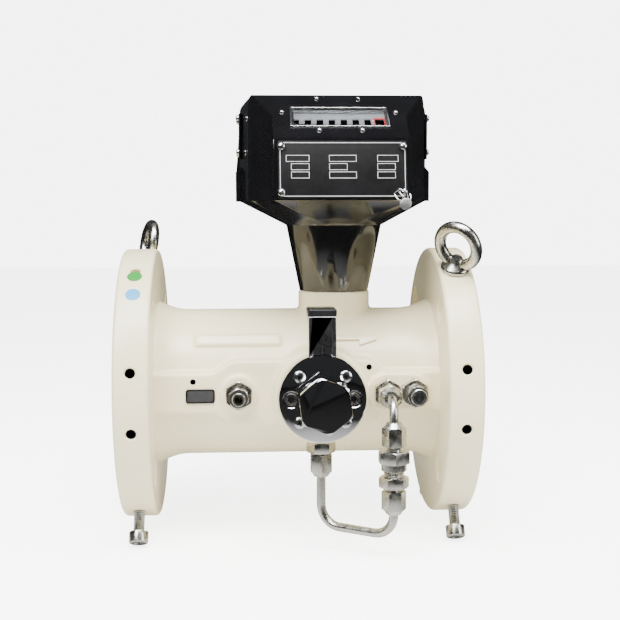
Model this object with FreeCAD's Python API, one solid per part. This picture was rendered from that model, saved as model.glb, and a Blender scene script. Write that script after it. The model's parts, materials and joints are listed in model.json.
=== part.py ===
import FreeCAD, Part
import math
import os

# Turbine gas meter with an oil pump and a swivelling mechanical index. Millimetres.
# Origin: centre of the inlet flange face. +X is the flow direction, +Z is up, -Y is the front.

V = FreeCAD.Vector
AX = V(1, 0, 0)
AY = V(0, 1, 0)
AZ = V(0, 0, 1)

# ---- fits ----
slip_gap = 0.05            # radial clearance of seated and sliding fits
run_gap = 0.04             # radial clearance of turning fits
part_gap = 0.3             # clearance between bodies that move past each other
over = 1.0                 # how far a cutting tool runs past the face that it cuts
join = 2.0                 # how far fused pieces run into each other
through = 60.0             # length of a tool that runs right through a small piece
pressure_angle = 20.0
addendum = 0.85            # tooth heights and flank reach, in modules
dedendum = 1.15
flank_reach = 0.75
root_flare = 1.2

# ---- cast housing ----
face_to_face = 240.0
flange_r = 95.25
flange_thickness = 23.4
bolt_circle_r = 76.2
bolt_hole_r = 9.5
bolt_hole_count = 4
first_bolt_angle = 45.0
rim_round = 2.5
rim_facets = 3
barrel_r = 52.0
flare_height = 6.0         # rise of the barrel where it meets a flange
flare_length = 20.0
flare_facets = 4
bore_r = 42.0
pad_y = 58.0               # distance of the flat front pad from the pipe axis
pad_end_half_height = 14.0
pad_mid_half_height = 22.2
pad_mid_x0 = 63.4
pad_mid_x1 = 178.5
pad_step_length = 13.0
pad_drop_length = 9.75
pad_root_y = 20.0
pad_round = 1.5
boss_proud = 2.5           # height of the port bosses over the pad
boss_r = 12.4
boss_draft = 0.8
double_boss_shift = 1.3    # centre of the double boss, upstream of the middle of its ports
double_boss_half = 9.0
tap_core_r = 3.4           # M8 tapped holes round the flange rims
tap_nominal_r = 4.0
tap_depth = 17.0
tap_chamfer = 1.0
pin_hole_places = ((49.7, 8.2), (168.2, 17.0))   # blind holes in the front pad, as (x, z)
pin_hole_r = 2.0
pin_hole_depth = 5.0
side_tap_angle = 12.0      # rim taps above and below the horizontal
lift_tap_angle = 30.0      # eyebolt and foot taps, from the vertical
arrow_length = 28.0
arrow_height = 11.5
arrow_shaft_half = 1.6
arrow_head_length = 11.8
arrow_proud = 1.0
arrow_centre_x = 161.0
arrow_angle = 41.0         # height of the flow arrow round the barrel, from the front

# ---- tower and magnetic coupling ----
tower_x = 148.8
tower_r = 25.5
tower_top = 65.4
tower_fillet = 3.0
tower_floor = 48.0
gear_well_r = 16.2
shaft_way_z = 20.0         # the way for the vertical shaft starts at this height
barrier_seat = 54.0
barrier_bore_r = 22.0
barrier_flange = 3.5
barrier_dome_r = 12.0
barrier_wall = 1.4
barrier_dome_height = 14.0
barrier_chamfer = 0.8
magnet_r = 9.6
magnet_height = 5.0
magnet_notch_r = 1.2
follower_floor = 1.0
follower_shaft_gap = 0.1
driver_gap = 1.5           # air between the driving magnet and the barrier
follower_gap = 1.0

# ---- measuring insert ----
sleeve_wall = 2.4
sleeve_start = 6.0
sleeve_end = 198.0
sleeve_lip_r = 46.0
sleeve_lip = 4.0
ring_inner_r = 39.8
ring_recess = 1.0          # retaining ring below the flange face
ring_slot_depth = 2.5
ring_slot_half = 2.5
ring_slot_reach = 3.0
hub_r = 28.0
hub_wall = 3.0
hub_end_wall = 4.0
nose_start = 12.0
nose_length = 30.0
straightener_end = 96.0
straightener_ring = 1.6
straightener_ring_length = 8.0
straightener_start = 20.0
vane_setback = 6.0         # rear edge of the vanes before the end of the hub
vane_tip_gap = 0.4
straightener_vanes = 12
vane_thickness = 1.4
rotor_start = 99.0
rotor_width = 17.0
rotor_blades = 16
blade_root = 1.5           # depth of the blades in the rim
blade_setback = 0.5
rotor_rim = 2.5
rotor_rim_drop = 0.5       # rim below the hub surface
rotor_hole_count = 6
rotor_hole_r = 4.5
rotor_hole_circle_r = 16.5
boss_setback = 1.5
blade_thickness = 1.5
blade_tip_gap = 0.6
blade_angle = 45.0         # at mid span, from the flow direction
rotor_web = 4.0
rotor_boss_r = 7.5
shaft_r = 3.0
shaft_collar_r = 4.0
shaft_start = 97.0
bearing_outer_r = 7.5
bearing_width = 5.0
bearing_ball_r = 1.2
bearing_balls = 7
bearing_race = 1.3
track_sides = 8
bearing_shoulder = 1.5
carrier_start = 119.0
carrier_end = 190.0
carrier_front_wall = 9.0
carrier_chamber_r = 20.0
carrier_rear_bore_r = 22.0
riser_half_length = 11.0   # raised part of the carrier round the vertical shaft
riser_tail = 6.0
riser_wall = 2.2
carrier_struts = 6
strut_thickness = 3.0
strut_start = 162.0
strut_end = 188.0
carrier_ring_thickness = 1.6
bearing_plate_start = 168.0
bearing_plate_thickness = 6.5
vent_count = 4
vent_r = 1.6
vent_circle_r = 14.0
duct_root_y = 15.0
tail_length = 36.0
tail_skirt_wall = 3.0
tail_land = 2.0            # straight run of the hub before the tail narrows

# ---- gear train ----
worm_module = 0.6
worm_teeth = 20
worm_r = 3.8               # pitch radius of both worms
worm_turns = 3
worm_core_spare = 1.5
worm_addendum = 0.48
worm_dedendum = 0.66
worm_root_half = 0.30      # half thickness of the thread at its root, as a share of the pitch
worm_tip_half = 0.12
worm_core_sink = 0.2       # thread below the surface of its core
worm_wheel_slack = 0.3     # share of the tooth thickness taken off for backlash
wheel_width = 4.0
drive_shaft_r = 2.0
bush_r = 3.2
bush_length = 3.8
change_gear_teeth = 14
change_gear_module = 0.7
change_gear_width = 2.4
change_gear_lift = 1.0
foot_boss_r = 4.5
foot_boss_top = -7.0

# ---- neck and index head ----
neck_gap = 0.1
neck_bottom_r = 24.75
neck_top_r = 34.0
neck_top = 112.0
neck_wall = 3.0
neck_spigot = 4.3
neck_foot_wall = 7.0
neck_bore_step = 0.2
shelf_thickness = 4.0
shelf_drop = 2.0           # top of the shelf below the top of the neck
shelf_hole_count = 3
shelf_hole_r = 7.0
shelf_hole_circle_r = 18.0
shelf_collar = 1.5
head_bottom = 129.0
head_top = 201.0
head_wall = 3.0
front_margin = 17.3        # front panel beyond the first and last digit centres
front_y = 78.3             # nameplate panel, bottom edge, in front of the tower axis
fold_y = 72.0              # fold between nameplate panel and window slope
fold_z = 168.0
brow_y = 29.0              # top edge of the window slope
cheek_y = 50.0             # where the cheeks start to spread
temple_y = 25.0
temple_spread = 16.4       # temples beyond the front panel, each side
side_y = -5.0
side_spread = 22.4
shoulder_spread = 25.4
shoulder_z = 150.0
shoulder_slope = 4.0
top_corner_r = 10.0
split_y = -38.0            # joint between casing and back cover, behind the tower axis
back_y = -52.0
back_round = 5.0

# ---- window, counter and nameplate ----
frame_margin = 5.7         # window frame beyond the first and last digit centres
frame_height = 23.5
frame_centre = 26.7        # up the slope from the fold
frame_border = 1.8
frame_proud = 1.2
frame_fit = 0.1
frame_wall = 1.0
frame_throat = 4.0
slope_screw_x = 14.2
slope_screw_side_gap = 5.4
slope_screw_low = 11.6
slope_screw_mid = 33.2
slope_screw_high = 50.2
pane_thickness = 1.5
pane_depth = 2.0
mask_thickness = 0.8
mask_depth = 4.2
mask_overlap_x = 1.0
mask_overlap_y = 0.5
digit_count = 8
digit_pitch = 7.8
digit_shift = -0.7         # centre of the digits from the middle of the window
drum_r = 7.5
drum_bore_r = 1.6
drum_depth = 13.4          # drum axis below the window slope
drum_hub_r = 3.5
drum_hub_width = 0.9
drum_rim = 1.2
drum_web = 1.5
axle_r = 1.5
cheek_plate = 1.5
cheek_plate_half_height = 12.0
cheek_gap = 1.2            # end drums to the cheeks
end_post_r = 1.6
end_post_offset = 9.6
end_post_lifts = (3.0, 5.0)
train_arm_half = 5.0
train_gap = 1.0
train_end_gap = 0.5
pin_setback = 0.2
lug_start = 12.0
pinion_gap = 0.35
pinion_teeth = 8
pinion_module = 0.5
pinion_width = 5.0
pinion_axle_r = 0.9
drum_sleeve_r = 2.6
lug_x = 138.0
aperture_width = 4.4
aperture_height = 5.4
train_module = 0.8
train_teeth = 16
idler_teeth = 32
train_width = 2.0
plate_margin = 2.9         # panel left bare beside the nameplate
plate_height = 37.4
plate_centre = 19.6        # up the panel from its bottom edge
plate_thickness = 1.2
plate_pad = 1.0
plate_pad_margin = 1.8
plate_pad_below = 0.4
plate_pad_above = 2.4
plate_corner_r = 2.0
plate_screw_margin = 2.2
plate_screw_z = 15.0
plate_screw_head_r = 2.7
plate_screw_head = 2.2
head_screw_r = 1.25
head_screw_head_r = 1.8
head_screw_head = 1.3

# ---- oil pump ----
pump_x = 135.0
pump_boss_r = 31.5
pump_boss_root_y = 30.0
pump_screw_hole = 12.0
spigot_floor_gap = 2.0
pump_seat_y = 76.0
disc_r = 28.8
disc_thickness = 9.0
disc_chamfer = 1.0
pump_neck_r = 13.0
pump_neck = 7.0
pump_spigot_r = 12.0
pump_spigot = 14.0
plunger_r = 4.0
plunger_travel = 8.0
plunger_head_r = 8.0
plunger_head = 3.0
plunger_head_chamfer = 0.8
plunger_floor = 3.0
plunger_end_gap = 1.5
cap_flats = 32.0
cap_length = 26.0
cap_wall = 3.0
cap_chamfer = 1.4
cap_fit = 0.09
cap_turn = 8.0             # angle of the hexagon
cap_o_ring_r = 1.0
spring_wire_r = 0.6
spring_turns = 4
spring_clearance = 1.0
cross_screw_offset = 15.0
cross_head_r = 4.0
cross_head = 2.6
cross_slot_depth = 1.3
cross_slot_half = 0.45
cross_slot_reach = 2.0
cross_shank_r = 2.4
screw_engaged = 9.0        # length of the pump screws in the housing
socket_screw_offset = 20.5
socket_bore_r = 5.3
socket_bore_depth = 5.6
socket_head_r = 4.2
socket_head = 5.0
socket_key_flats = 4.0
socket_key_depth = 2.6
reservoir_half_width = 9.1
reservoir_top = 54.0
reservoir_front = 84.0
reservoir_back = 62.0
reservoir_bottom = 20.0
reservoir_wall = 3.0
reservoir_front_wall = 4.5
reservoir_floor = 36.0
reservoir_edge_r = 1.0
reservoir_cap_lip = 0.3
reservoir_cap_height = 4.7
glass_half_width = 5.0
glass_bottom = 32.0
glass_top = 51.0
glass_depth = 1.6
glass_inset = 0.3
level_line_half = 0.4
level_line_depth = 0.4

# ---- ports and oil line ----
left_port_x = 80.4
feed_port_x = 180.0
test_port_x = 198.6
port_core_r = 4.6
port_depth = 11.0
gallery_root_y = 38.0
gallery_r = 1.4
stud_flats = 17.0
stud_hex = 7.0
stud_thread = 8.0
stud_neck_r = 5.0
stud_neck = 3.0
nut_flats = 14.0
nut_length = 15.4
nut_chamfer = 0.8
plug_flats = 12.0
plug_hex = 8.0
plug_turn = 10.0
plug_nose_r = 4.6
plug_nose = 5.0
plug_bore_r = 2.7
coupling_r = 6.6
coupling_length = 6.5
coupling_nose_r = 5.4
coupling_nose = 6.0
coupling_mouth_r = 3.4
coupling_mouth_depth = 8.0
groove_start = 1.7         # O-ring groove, from the sleeve end of the coupling
groove_width = 1.6
groove_root_r = 5.0
coupling_o_ring_r = 0.75
tube_r = 3.0
tube_bore_r = 2.0
tube_grip = 9.0            # length of tube inside a nut
line_bottom_z = -88.0
line_bend_r = 14.0
elbow_bend_r = 12.0
feed_nut_front = 85.0
valve_flats = 19.0
valve_top_z = -31.5
valve_hex = 8.1
valve_collar_r = 8.2
valve_collar = 5.1
valve_thread_r = 6.6
valve_thread = 4.0
valve_end_flats = 17.0
valve_end_hex = 7.0
valve_neck_r = 3.4
valve_neck = 2.2
valve_ball_r = 2.4
valve_ball_travel = 2.0
valve_ball_start = 0.24    # ball above its seat edge at rest
valve_side_gap = 0.24
valve_seat_depth = 1.44
valve_seat_r = 1.8
valve_outlet_r = 1.5
valve_chamfer = 1.0
valve_joint = 0.2

# ---- lifting and standing ----
eye_ring_r = 14.0
eye_section_r = 4.0
eye_section_sides = 12
eye_collar_r = 10.0
eye_collar = 6.0
eye_collar_land = 2.5
eye_neck_r = 5.5
eye_blend = 2.0
eye_height = 36.0
eye_shank = 13.0
eye_turn_right = 50.0
eye_turn_left = 20.0
foot_screw_exposed = 14.0
foot_head_r = 6.5
foot_head = 8.0
foot_head_chamfer = 0.8
thread_allowance = 0.1
foot_socket_flats = 6.0
foot_socket_depth = 4.0
foot_engaged = 15.0

# ---- derived places ----
digit_span = digit_pitch * (digit_count - 1)
drum_width = digit_pitch - drum_hub_width - part_gap
frame_length = digit_span + 2.0 * frame_margin
front_half_width = digit_span / 2.0 + front_margin
temple_half_width = front_half_width + temple_spread
side_half_width = front_half_width + side_spread
shoulder_half_width = front_half_width + shoulder_spread
plate_width = 2.0 * (front_half_width - plate_margin)
plate_screw_x = plate_width / 2.0 - plate_screw_margin
ball_circle_r = (shaft_r + bearing_outer_r) / 2.0
sleeve_outer_r = bore_r - slip_gap
sleeve_inner_r = sleeve_outer_r - sleeve_wall
shaft_offset = worm_r + worm_module * worm_teeth / 2.0
worm_pitch = math.pi * worm_module
boss_y = pad_y + boss_proud
disc_face_y = pump_seat_y + disc_thickness
line_y = feed_nut_front + elbow_bend_r
outlet_y = (pad_y + pump_seat_y) / 2.0
rotor_mid = rotor_start + rotor_width / 2.0
slope_run = fold_y - brow_y
slope_rise = head_top - fold_z
slope_angle = math.degrees(math.atan2(slope_rise, slope_run))
panel_rise = fold_z - head_bottom
panel_run = front_y - fold_y
panel_angle = math.degrees(math.atan2(panel_rise, panel_run))
train_distance = train_module * (train_teeth + idler_teeth) / 2.0


# ---- general shapes ----
def cylinder(r, length, base, axis):
    return Part.makeCylinder(r, length, base, axis)


def tube(r_out, r_in, length, base, axis):
    return cylinder(r_out, length, base, axis).cut(cylinder(r_in, length, base, axis))


def box(x0, x1, y0, y1, z0, z1):
    return Part.makeBox(x1 - x0, y1 - y0, z1 - z0, V(x0, y0, z0))


def prism(points, direction):
    wire = Part.makePolygon(points + [points[0]])
    return Part.Face(wire).extrude(direction)


def hexagon(flats, length, base, axis, turn=0.0):
    """Hexagonal bar from base along axis, one flat towards the local X when turn is 0."""
    corner_r = flats / math.sqrt(3.0)
    points = []
    for i in range(6):
        a = math.radians(60.0 * i + 30.0 + turn)
        points.append(V(corner_r * math.cos(a), corner_r * math.sin(a), 0))
    bar = prism(points, V(0, 0, length))
    return aimed(bar, base, axis)


def chamfered_hexagon(flats, length, base, axis, chamfer, turn=0.0):
    """Hexagonal bar with the corners turned off at both ends."""
    corner_r = flats / math.sqrt(3.0)
    bar = hexagon(flats, length, V(0, 0, 0), AZ, turn)
    low = Part.makeCone(corner_r - chamfer, corner_r + length / 2.0, length / 2.0 + chamfer)
    high = Part.makeCone(corner_r + length / 2.0, corner_r - chamfer, length / 2.0 + chamfer,
                         V(0, 0, length / 2.0 - chamfer), AZ)
    return aimed(bar.common(low.common(box(-99, 99, -99, 99, 0, length / 2.0)).fuse(
        high.common(box(-99, 99, -99, 99, length / 2.0, length)))), base, axis)


def aimed(shape, base, axis):
    """Turn a shape made along +Z so that it runs along axis, and move it to base."""
    moved = shape.copy()
    moved.Placement = FreeCAD.Placement(base, FreeCAD.Rotation(AZ, axis))
    return moved


def turned(shape, centre, axis, degrees):
    moved = shape.copy()
    moved.rotate(centre, axis, degrees)
    return moved


def revolved(points, centre, axis):
    """Solid of revolution from (distance along, radius) pairs."""
    profile = [V(r, 0, a) for a, r in points]
    face = Part.Face(Part.makePolygon(profile + [profile[0]]))
    return aimed(face.revolve(V(0, 0, 0), AZ, 360), centre, axis)


def ring_seal(r_major, r_minor, centre, axis, sides=8):
    """Ring of round section, with flat facets round the section."""
    points = []
    for i in range(sides):
        a = 2.0 * math.pi * (i + 0.5) / sides
        points.append((r_minor * math.sin(a), r_major + r_minor * math.cos(a)))
    return revolved(points, centre, axis)


def ball(r, centre, bands=8):
    """Ball made of conical bands."""
    points = [(-r * math.cos(math.pi * i / bands), r * math.sin(math.pi * i / bands)) for i in range(1,
                                                                                                     bands)]
    return revolved([(-r, 0.0)] + points + [(r, 0.0)], centre, AZ)


def edges_at(shape, axis, value):
    """Edges that lie wholly in the plane where the named axis has the value."""
    found = []
    for e in shape.Edges:
        low = getattr(e.BoundBox, axis + "Min")
        high = getattr(e.BoundBox, axis + "Max")
        if abs(low - value) < 1e-3 and abs(high - value) < 1e-3:
            found.append(e)
    return found


def save(name, shape):
    shape.exportStep("parts/" + name + ".step")


def group(shapes):
    return Part.makeCompound(shapes)


# ---- gears ----
def gear_outline(teeth, module, phase=0.0, slack=0.12):
    """Straight-flanked tooth outline; a tooth centre stands at angle phase, in radians."""
    pitch_r = teeth * module / 2.0
    tip_r = pitch_r + addendum * module
    root_r = pitch_r - dedendum * module
    step = 2.0 * math.pi / teeth
    half = step / 4.0 * (1.0 - slack)
    flank = flank_reach * module * math.tan(math.radians(pressure_angle)) / pitch_r
    points = []
    for i in range(teeth):
        a = phase + i * step
        for r, w in ((root_r, half + flank * root_flare), (tip_r, half - flank)):
            points.append((r, a - w))
        for r, w in ((tip_r, half - flank), (root_r, half + flank * root_flare)):
            points.append((r, a + w))
    return [V(r * math.cos(a), r * math.sin(a), 0) for r, a in points]


def spur_gear(teeth, module, width, bore_radius, phase=0.0):
    disc = prism(gear_outline(teeth, module, phase), V(0, 0, width))
    return disc.cut(cylinder(bore_radius, width, V(0, 0, 0), AZ))


def worm_wheel_disc(width, bore_radius, phase):
    """Worm wheel centred on its axis, its teeth leaning by the worm's lead angle."""
    lean = math.atan2(worm_pitch, 2.0 * math.pi * worm_r)
    pitch_r = worm_teeth * worm_module / 2.0
    half_twist = width / 2.0 * math.tan(lean) / pitch_r
    wires = []
    for sign in (-1, 1):
        outline = gear_outline(worm_teeth, worm_module, phase + sign * half_twist, worm_wheel_slack)
        lifted = [p + V(0, 0, sign * width / 2.0) for p in outline]
        wires.append(Part.makePolygon(lifted + [lifted[0]]))
    disc = Part.makeLoft(wires, True, True)
    return disc.cut(cylinder(bore_radius, width, V(0, 0, -width / 2.0), AZ))


def worm_thread(steps_per_turn=12):
    """Right-handed single-start thread round +Z, its crest at angle 0 at height 0."""
    root_r = worm_r - worm_dedendum - worm_core_sink
    tip_r = worm_r + worm_addendum
    root_half = worm_pitch * worm_root_half
    tip_half = worm_pitch * worm_tip_half
    sections = []
    count = worm_turns * steps_per_turn
    for i in range(count + 1):
        turn = i / steps_per_turn - worm_turns / 2.0
        a = 2.0 * math.pi * turn
        h = worm_pitch * turn
        corners = [(root_r, h - root_half), (tip_r, h - tip_half),
                   (tip_r, h + tip_half), (root_r, h + root_half)]
        points = [V(r * math.cos(a), r * math.sin(a), z) for r, z in corners]
        sections.append(Part.makePolygon(points + [points[0]]))
    return Part.makeLoft(sections, True, True)


def mesh_phase(phase, teeth, other_teeth, direction):
    """Phase of the second gear so that its gaps take the first gear's teeth."""
    offset = phase - direction
    step = 2.0 * math.pi / other_teeth
    return direction + math.pi - offset * teeth / other_teeth + step / 2.0


# ---- cast housing ----
def rim_corner(face_x, inward):
    """Points of a flange's rounded rim, from its outer face to the side face at face_x."""
    points = []
    for i in range(rim_facets + 1):
        a = math.pi / 2.0 * i / rim_facets
        points.append((face_x + inward * rim_round * (1.0 - math.sin(a)),
                       flange_r - rim_round * (1.0 - math.cos(a))))
    return points


def flare_points():
    """Concave run from the flange down to the barrel, tangent to the barrel."""
    points = []
    for i in range(flare_facets + 1):
        run = i / flare_facets
        points.append((flange_thickness + flare_length * run, barrel_r + flare_height * (1.0 - run) ** 2))
    return points


def housing_outer():
    """Both flanges and the barrel, turned from one profile that is the same at both ends."""
    half = [(0.0, 0.0)] + rim_corner(0.0, 1.0)[::-1] + rim_corner(flange_thickness, -1.0) + flare_points()
    other = [(face_to_face - x, r) for x, r in reversed(half)]
    return revolved(half + other, V(0, 0, 0), AX)


def front_pad():
    h0 = pad_end_half_height
    h1 = pad_mid_half_height
    x0 = flange_thickness - over
    x1 = face_to_face - flange_thickness + over
    upper = [(x0, h0), (pad_mid_x0, h0), (pad_mid_x0 + pad_step_length, h1),
             (pad_mid_x1 - pad_drop_length, h1), (pad_mid_x1, h0), (x1, h0)]
    outline = upper + [(x, -z) for x, z in reversed(upper)]
    points = [V(x, -pad_y, z) for x, z in outline]
    pad = prism(points, V(0, pad_y - pad_root_y, 0))
    front = edges_at(pad, "Y", -pad_y)
    return pad.makeFillet(pad_round, front)


def raised_bosses():
    left = Part.makeCone(boss_r + boss_draft, boss_r, boss_proud + join, V(left_port_x, -pad_y + join, 0),
                         -AY)
    middle = (feed_port_x + test_port_x) / 2.0 - double_boss_shift
    half = double_boss_half
    parts = [left]
    for x in (middle - half, middle + half):
        parts.append(cylinder(boss_r, boss_proud + join, V(x, -pad_y + join, 0), -AY))
    parts.append(box(middle - half, middle + half, -boss_y, -pad_y + join, -boss_r, boss_r))
    parts.append(cylinder(pump_boss_r, pump_seat_y - pump_boss_root_y, V(pump_x, -pump_boss_root_y, 0), -AY))
    return parts


def flow_arrow():
    """Raised arrow on the barrel, pointing downstream."""
    half = arrow_height / 2.0
    shaft = arrow_shaft_half
    tip = arrow_length / 2.0
    neck = tip - arrow_head_length
    outline = [(-tip, -shaft), (neck, -shaft), (neck, -half), (tip, 0), (neck, half), (neck, shaft), (-tip,
                                                                                                      shaft)]
    points = [V(arrow_centre_x + x, -(barrel_r + arrow_proud + over), z) for x, z in outline]
    slab = prism(points, V(0, barrel_r - bore_r, 0))
    slab = turned(slab, V(0, 0, 0), AX, -arrow_angle)
    skin = cylinder(barrel_r + arrow_proud, face_to_face, V(0, 0, 0), AX)
    return slab.common(skin)


def rim_direction(degrees_from_top, side):
    """Unit vector out of the rim; side is -1 for the front and 1 for the back."""
    a = math.radians(degrees_from_top)
    return V(0, side * math.sin(a), math.cos(a))


def flange_middles():
    return (flange_thickness / 2.0, face_to_face - flange_thickness / 2.0)


def rim_taps():
    cuts = []
    for x in flange_middles():
        for side in (-1, 1):
            for angle in (lift_tap_angle, 90.0 - side_tap_angle, 90.0 + side_tap_angle,
                          180.0 - lift_tap_angle):
                out = rim_direction(angle, side)
                centre = V(x, 0, 0)
                cuts.append(cylinder(tap_core_r, tap_depth + over, centre + out * (flange_r - tap_depth),
                                     out))
                cuts.append(Part.makeCone(tap_core_r, tap_core_r + tap_chamfer + 0.5, tap_chamfer + 0.5,
                                          centre + out * (flange_r - tap_chamfer), out))
    return cuts


def housing():
    body = housing_outer()
    body = body.fuse([front_pad()] + raised_bosses())
    tower = cylinder(tower_r, tower_top, V(tower_x, 0, 0), AZ)
    body = body.fuse(tower)
    seam = []
    for e in body.Edges:
        b = e.BoundBox
        near = math.hypot(b.Center.x - tower_x, b.Center.y) < tower_r + 1.0
        if near and b.ZMax < barrel_r + over and b.ZMin > tower_r and b.XLength > tower_fillet:
            if all(abs(math.hypot(v.X - tower_x, v.Y) - tower_r) < 0.01 for v in e.Vertexes):
                seam.append(e)
    body = body.makeFillet(tower_fillet, seam)
    body = body.fuse(flow_arrow())
    cuts = [cylinder(bore_r, face_to_face + 2.0, V(-1, 0, 0), AX)]
    cuts.append(cylinder(sleeve_lip_r + slip_gap, sleeve_start + sleeve_lip + 1.0, V(-1, 0, 0), AX))
    for x in (-1.0, face_to_face - flange_thickness - 1.0):
        for i in range(bolt_hole_count):
            a = math.radians(first_bolt_angle + 360.0 * i / bolt_hole_count)
            base = V(x, bolt_circle_r * math.cos(a), bolt_circle_r * math.sin(a))
            cuts.append(cylinder(bolt_hole_r, flange_thickness + 2.0, base, AX))
    cuts.extend(rim_taps())
    cuts.append(cylinder(gear_well_r, tower_top, V(tower_x, 0, tower_floor), AZ))
    cuts.append(cylinder(barrier_bore_r, tower_top, V(tower_x, 0, barrier_seat), AZ))
    cuts.append(cylinder(bush_r + slip_gap, tower_floor, V(tower_x, shaft_offset, shaft_way_z), AZ))
    cuts.append(cylinder(bush_r + slip_gap, bush_length, V(tower_x, 0, tower_floor - bush_length), AZ))
    for x in (left_port_x, feed_port_x, test_port_x):
        cuts.append(cylinder(port_core_r, port_depth + 1.0, V(x, -boss_y + port_depth, 0), -AY))
        cuts.append(cylinder(gallery_r, boss_y - gallery_root_y, V(x, -gallery_root_y, 0), -AY))
    cuts.append(cylinder(pump_spigot_r + slip_gap, pump_spigot + spigot_floor_gap + over,
                         V(pump_x, -pump_seat_y + pump_spigot + spigot_floor_gap, 0), -AY))
    cuts.append(cylinder(port_core_r, port_depth, V(pump_x, -outlet_y, -pump_boss_r + port_depth), -AZ))
    cuts.append(cylinder(gallery_r, pump_boss_r, V(pump_x, -outlet_y, 0), -AZ))
    for dx in (-1, 1):
        for dz in (-1, 1):
            place = V(pump_x + dx * cross_screw_offset, -pump_seat_y + pump_screw_hole,
                      dz * cross_screw_offset)
            cuts.append(cylinder(cross_shank_r + slip_gap, pump_screw_hole + over, place, -AY))
        place = V(pump_x + dx * socket_screw_offset, -pump_seat_y + pump_screw_hole, 0)
        cuts.append(cylinder(cross_shank_r + slip_gap, pump_screw_hole + over, place, -AY))
    for x, z in pin_hole_places:
        cuts.append(cylinder(pin_hole_r, pin_hole_depth + over, V(x, -pad_y + pin_hole_depth, z), -AY))
    return body.cut(cuts)


# ---- measuring insert ----
def insert_sleeve():
    body = tube(sleeve_outer_r, sleeve_inner_r, sleeve_end - sleeve_start, V(sleeve_start, 0, 0), AX)
    lip = tube(sleeve_lip_r, sleeve_inner_r, sleeve_lip, V(sleeve_start, 0, 0), AX)
    body = body.fuse(lip)
    body = body.cut(cylinder(bush_r + part_gap, through, V(tower_x, shaft_offset, shaft_way_z), AZ))
    for x in (left_port_x, feed_port_x, test_port_x):
        body = body.cut(cylinder(gallery_r, sleeve_wall + 2.0 * join, V(x, -sleeve_inner_r + join, 0), -AY))
    return body.removeSplitter()


def retaining_ring():
    body = tube(sleeve_lip_r, ring_inner_r, sleeve_start - ring_recess, V(ring_recess, 0, 0), AX)
    slots = []
    for i in range(4):
        slot = box(0, ring_recess + ring_slot_depth, -ring_slot_half, ring_slot_half, ring_inner_r - over,
                   ring_inner_r + ring_slot_reach)
        slots.append(turned(slot, V(0, 0, 0), AX, 90.0 * i))
    return body.cut(slots)


def straight_vanes(count, thickness, x0, x1, r0, r1):
    blades = []
    for i in range(count):
        blade = box(x0, x1, -thickness / 2.0, thickness / 2.0, r0, r1)
        blades.append(turned(blade, V(0, 0, 0), AX, 360.0 * i / count))
    return blades


def nose_profile(x0, length, r, steps=5):
    """Half-ellipse points from the tip to the full radius."""
    points = []
    for i in range(steps + 1):
        a = math.pi / 2.0 * i / steps
        points.append((x0 + length * (1.0 - math.cos(a)), r * math.sin(a)))
    return points


def nosed_hub(tip, length, r, far, direction):
    """Solid hub with an elliptical nose, from its tip to the distance far along direction."""
    return revolved(nose_profile(0.0, length, r) + [(far, r), (far, 0.0)], V(tip, 0, 0), direction)


def flow_straightener():
    hub = nosed_hub(nose_start, nose_length, hub_r, straightener_end - nose_start, AX)
    hollow = cylinder(hub_r - hub_wall, straightener_end - nose_start - nose_length,
                      V(nose_start + nose_length + hub_end_wall, 0, 0), AX)
    outer = sleeve_inner_r - slip_gap
    ring = tube(outer, outer - straightener_ring, straightener_ring_length, V(straightener_start, 0, 0), AX)
    blades = straight_vanes(straightener_vanes, vane_thickness, straightener_start,
                            straightener_end - vane_setback, hub_r - join, outer - vane_tip_gap)
    return hub.cut(hollow).fuse([ring] + blades).cut(hollow)


def bearing_carrier():
    outer = sleeve_inner_r - slip_gap
    hub = cylinder(hub_r, carrier_end - carrier_start, V(carrier_start, 0, 0), AX)
    ring = tube(outer, outer - carrier_ring_thickness, strut_end - strut_start, V(strut_start, 0, 0), AX)
    struts = straight_vanes(carrier_struts, strut_thickness, strut_start, strut_end, hub_r - join,
                            outer - vane_tip_gap)
    half = bush_r + riser_wall
    riser = box(tower_x - riser_half_length, strut_start + riser_tail, shaft_offset - half,
                shaft_offset + half,
                shaft_way_z, sleeve_outer_r)
    trim = cylinder(outer, face_to_face, V(0, 0, 0), AX)
    body = hub.fuse([ring] + struts + [riser.common(trim)])
    chamber_start = carrier_start + carrier_front_wall
    cuts = [cylinder(carrier_chamber_r, carrier_end - chamber_start, V(chamber_start, 0, 0), AX)]
    cuts.append(cylinder(carrier_rear_bore_r, carrier_end, V(bearing_plate_start, 0, 0), AX))
    cuts.append(cylinder(bearing_outer_r + slip_gap, bearing_width, V(chamber_start - bearing_width, 0, 0),
                         AX))
    cuts.append(cylinder(shaft_collar_r + part_gap, carrier_front_wall + over, V(carrier_start - over, 0,
                                                                                 0), AX))
    cuts.append(cylinder(drive_shaft_r + 2.0 * part_gap, tower_floor, V(tower_x, shaft_offset, 0), AZ))
    body = body.cut(cuts)
    foot = cylinder(foot_boss_r, foot_boss_top + carrier_chamber_r + 2.0,
                    V(tower_x, shaft_offset, -carrier_chamber_r - 2.0), AZ)
    body = body.fuse(foot.common(cylinder(hub_r - 1.0, face_to_face, V(0, 0, 0), AX)))
    body = body.cut(cylinder(bush_r + slip_gap, bush_length, V(tower_x, shaft_offset,
                                                               foot_boss_top - bush_length), AZ))
    duct = cylinder(gallery_r, sleeve_outer_r - duct_root_y, V(feed_port_x, -duct_root_y, 0), -AY)
    return body.cut(duct)


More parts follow.
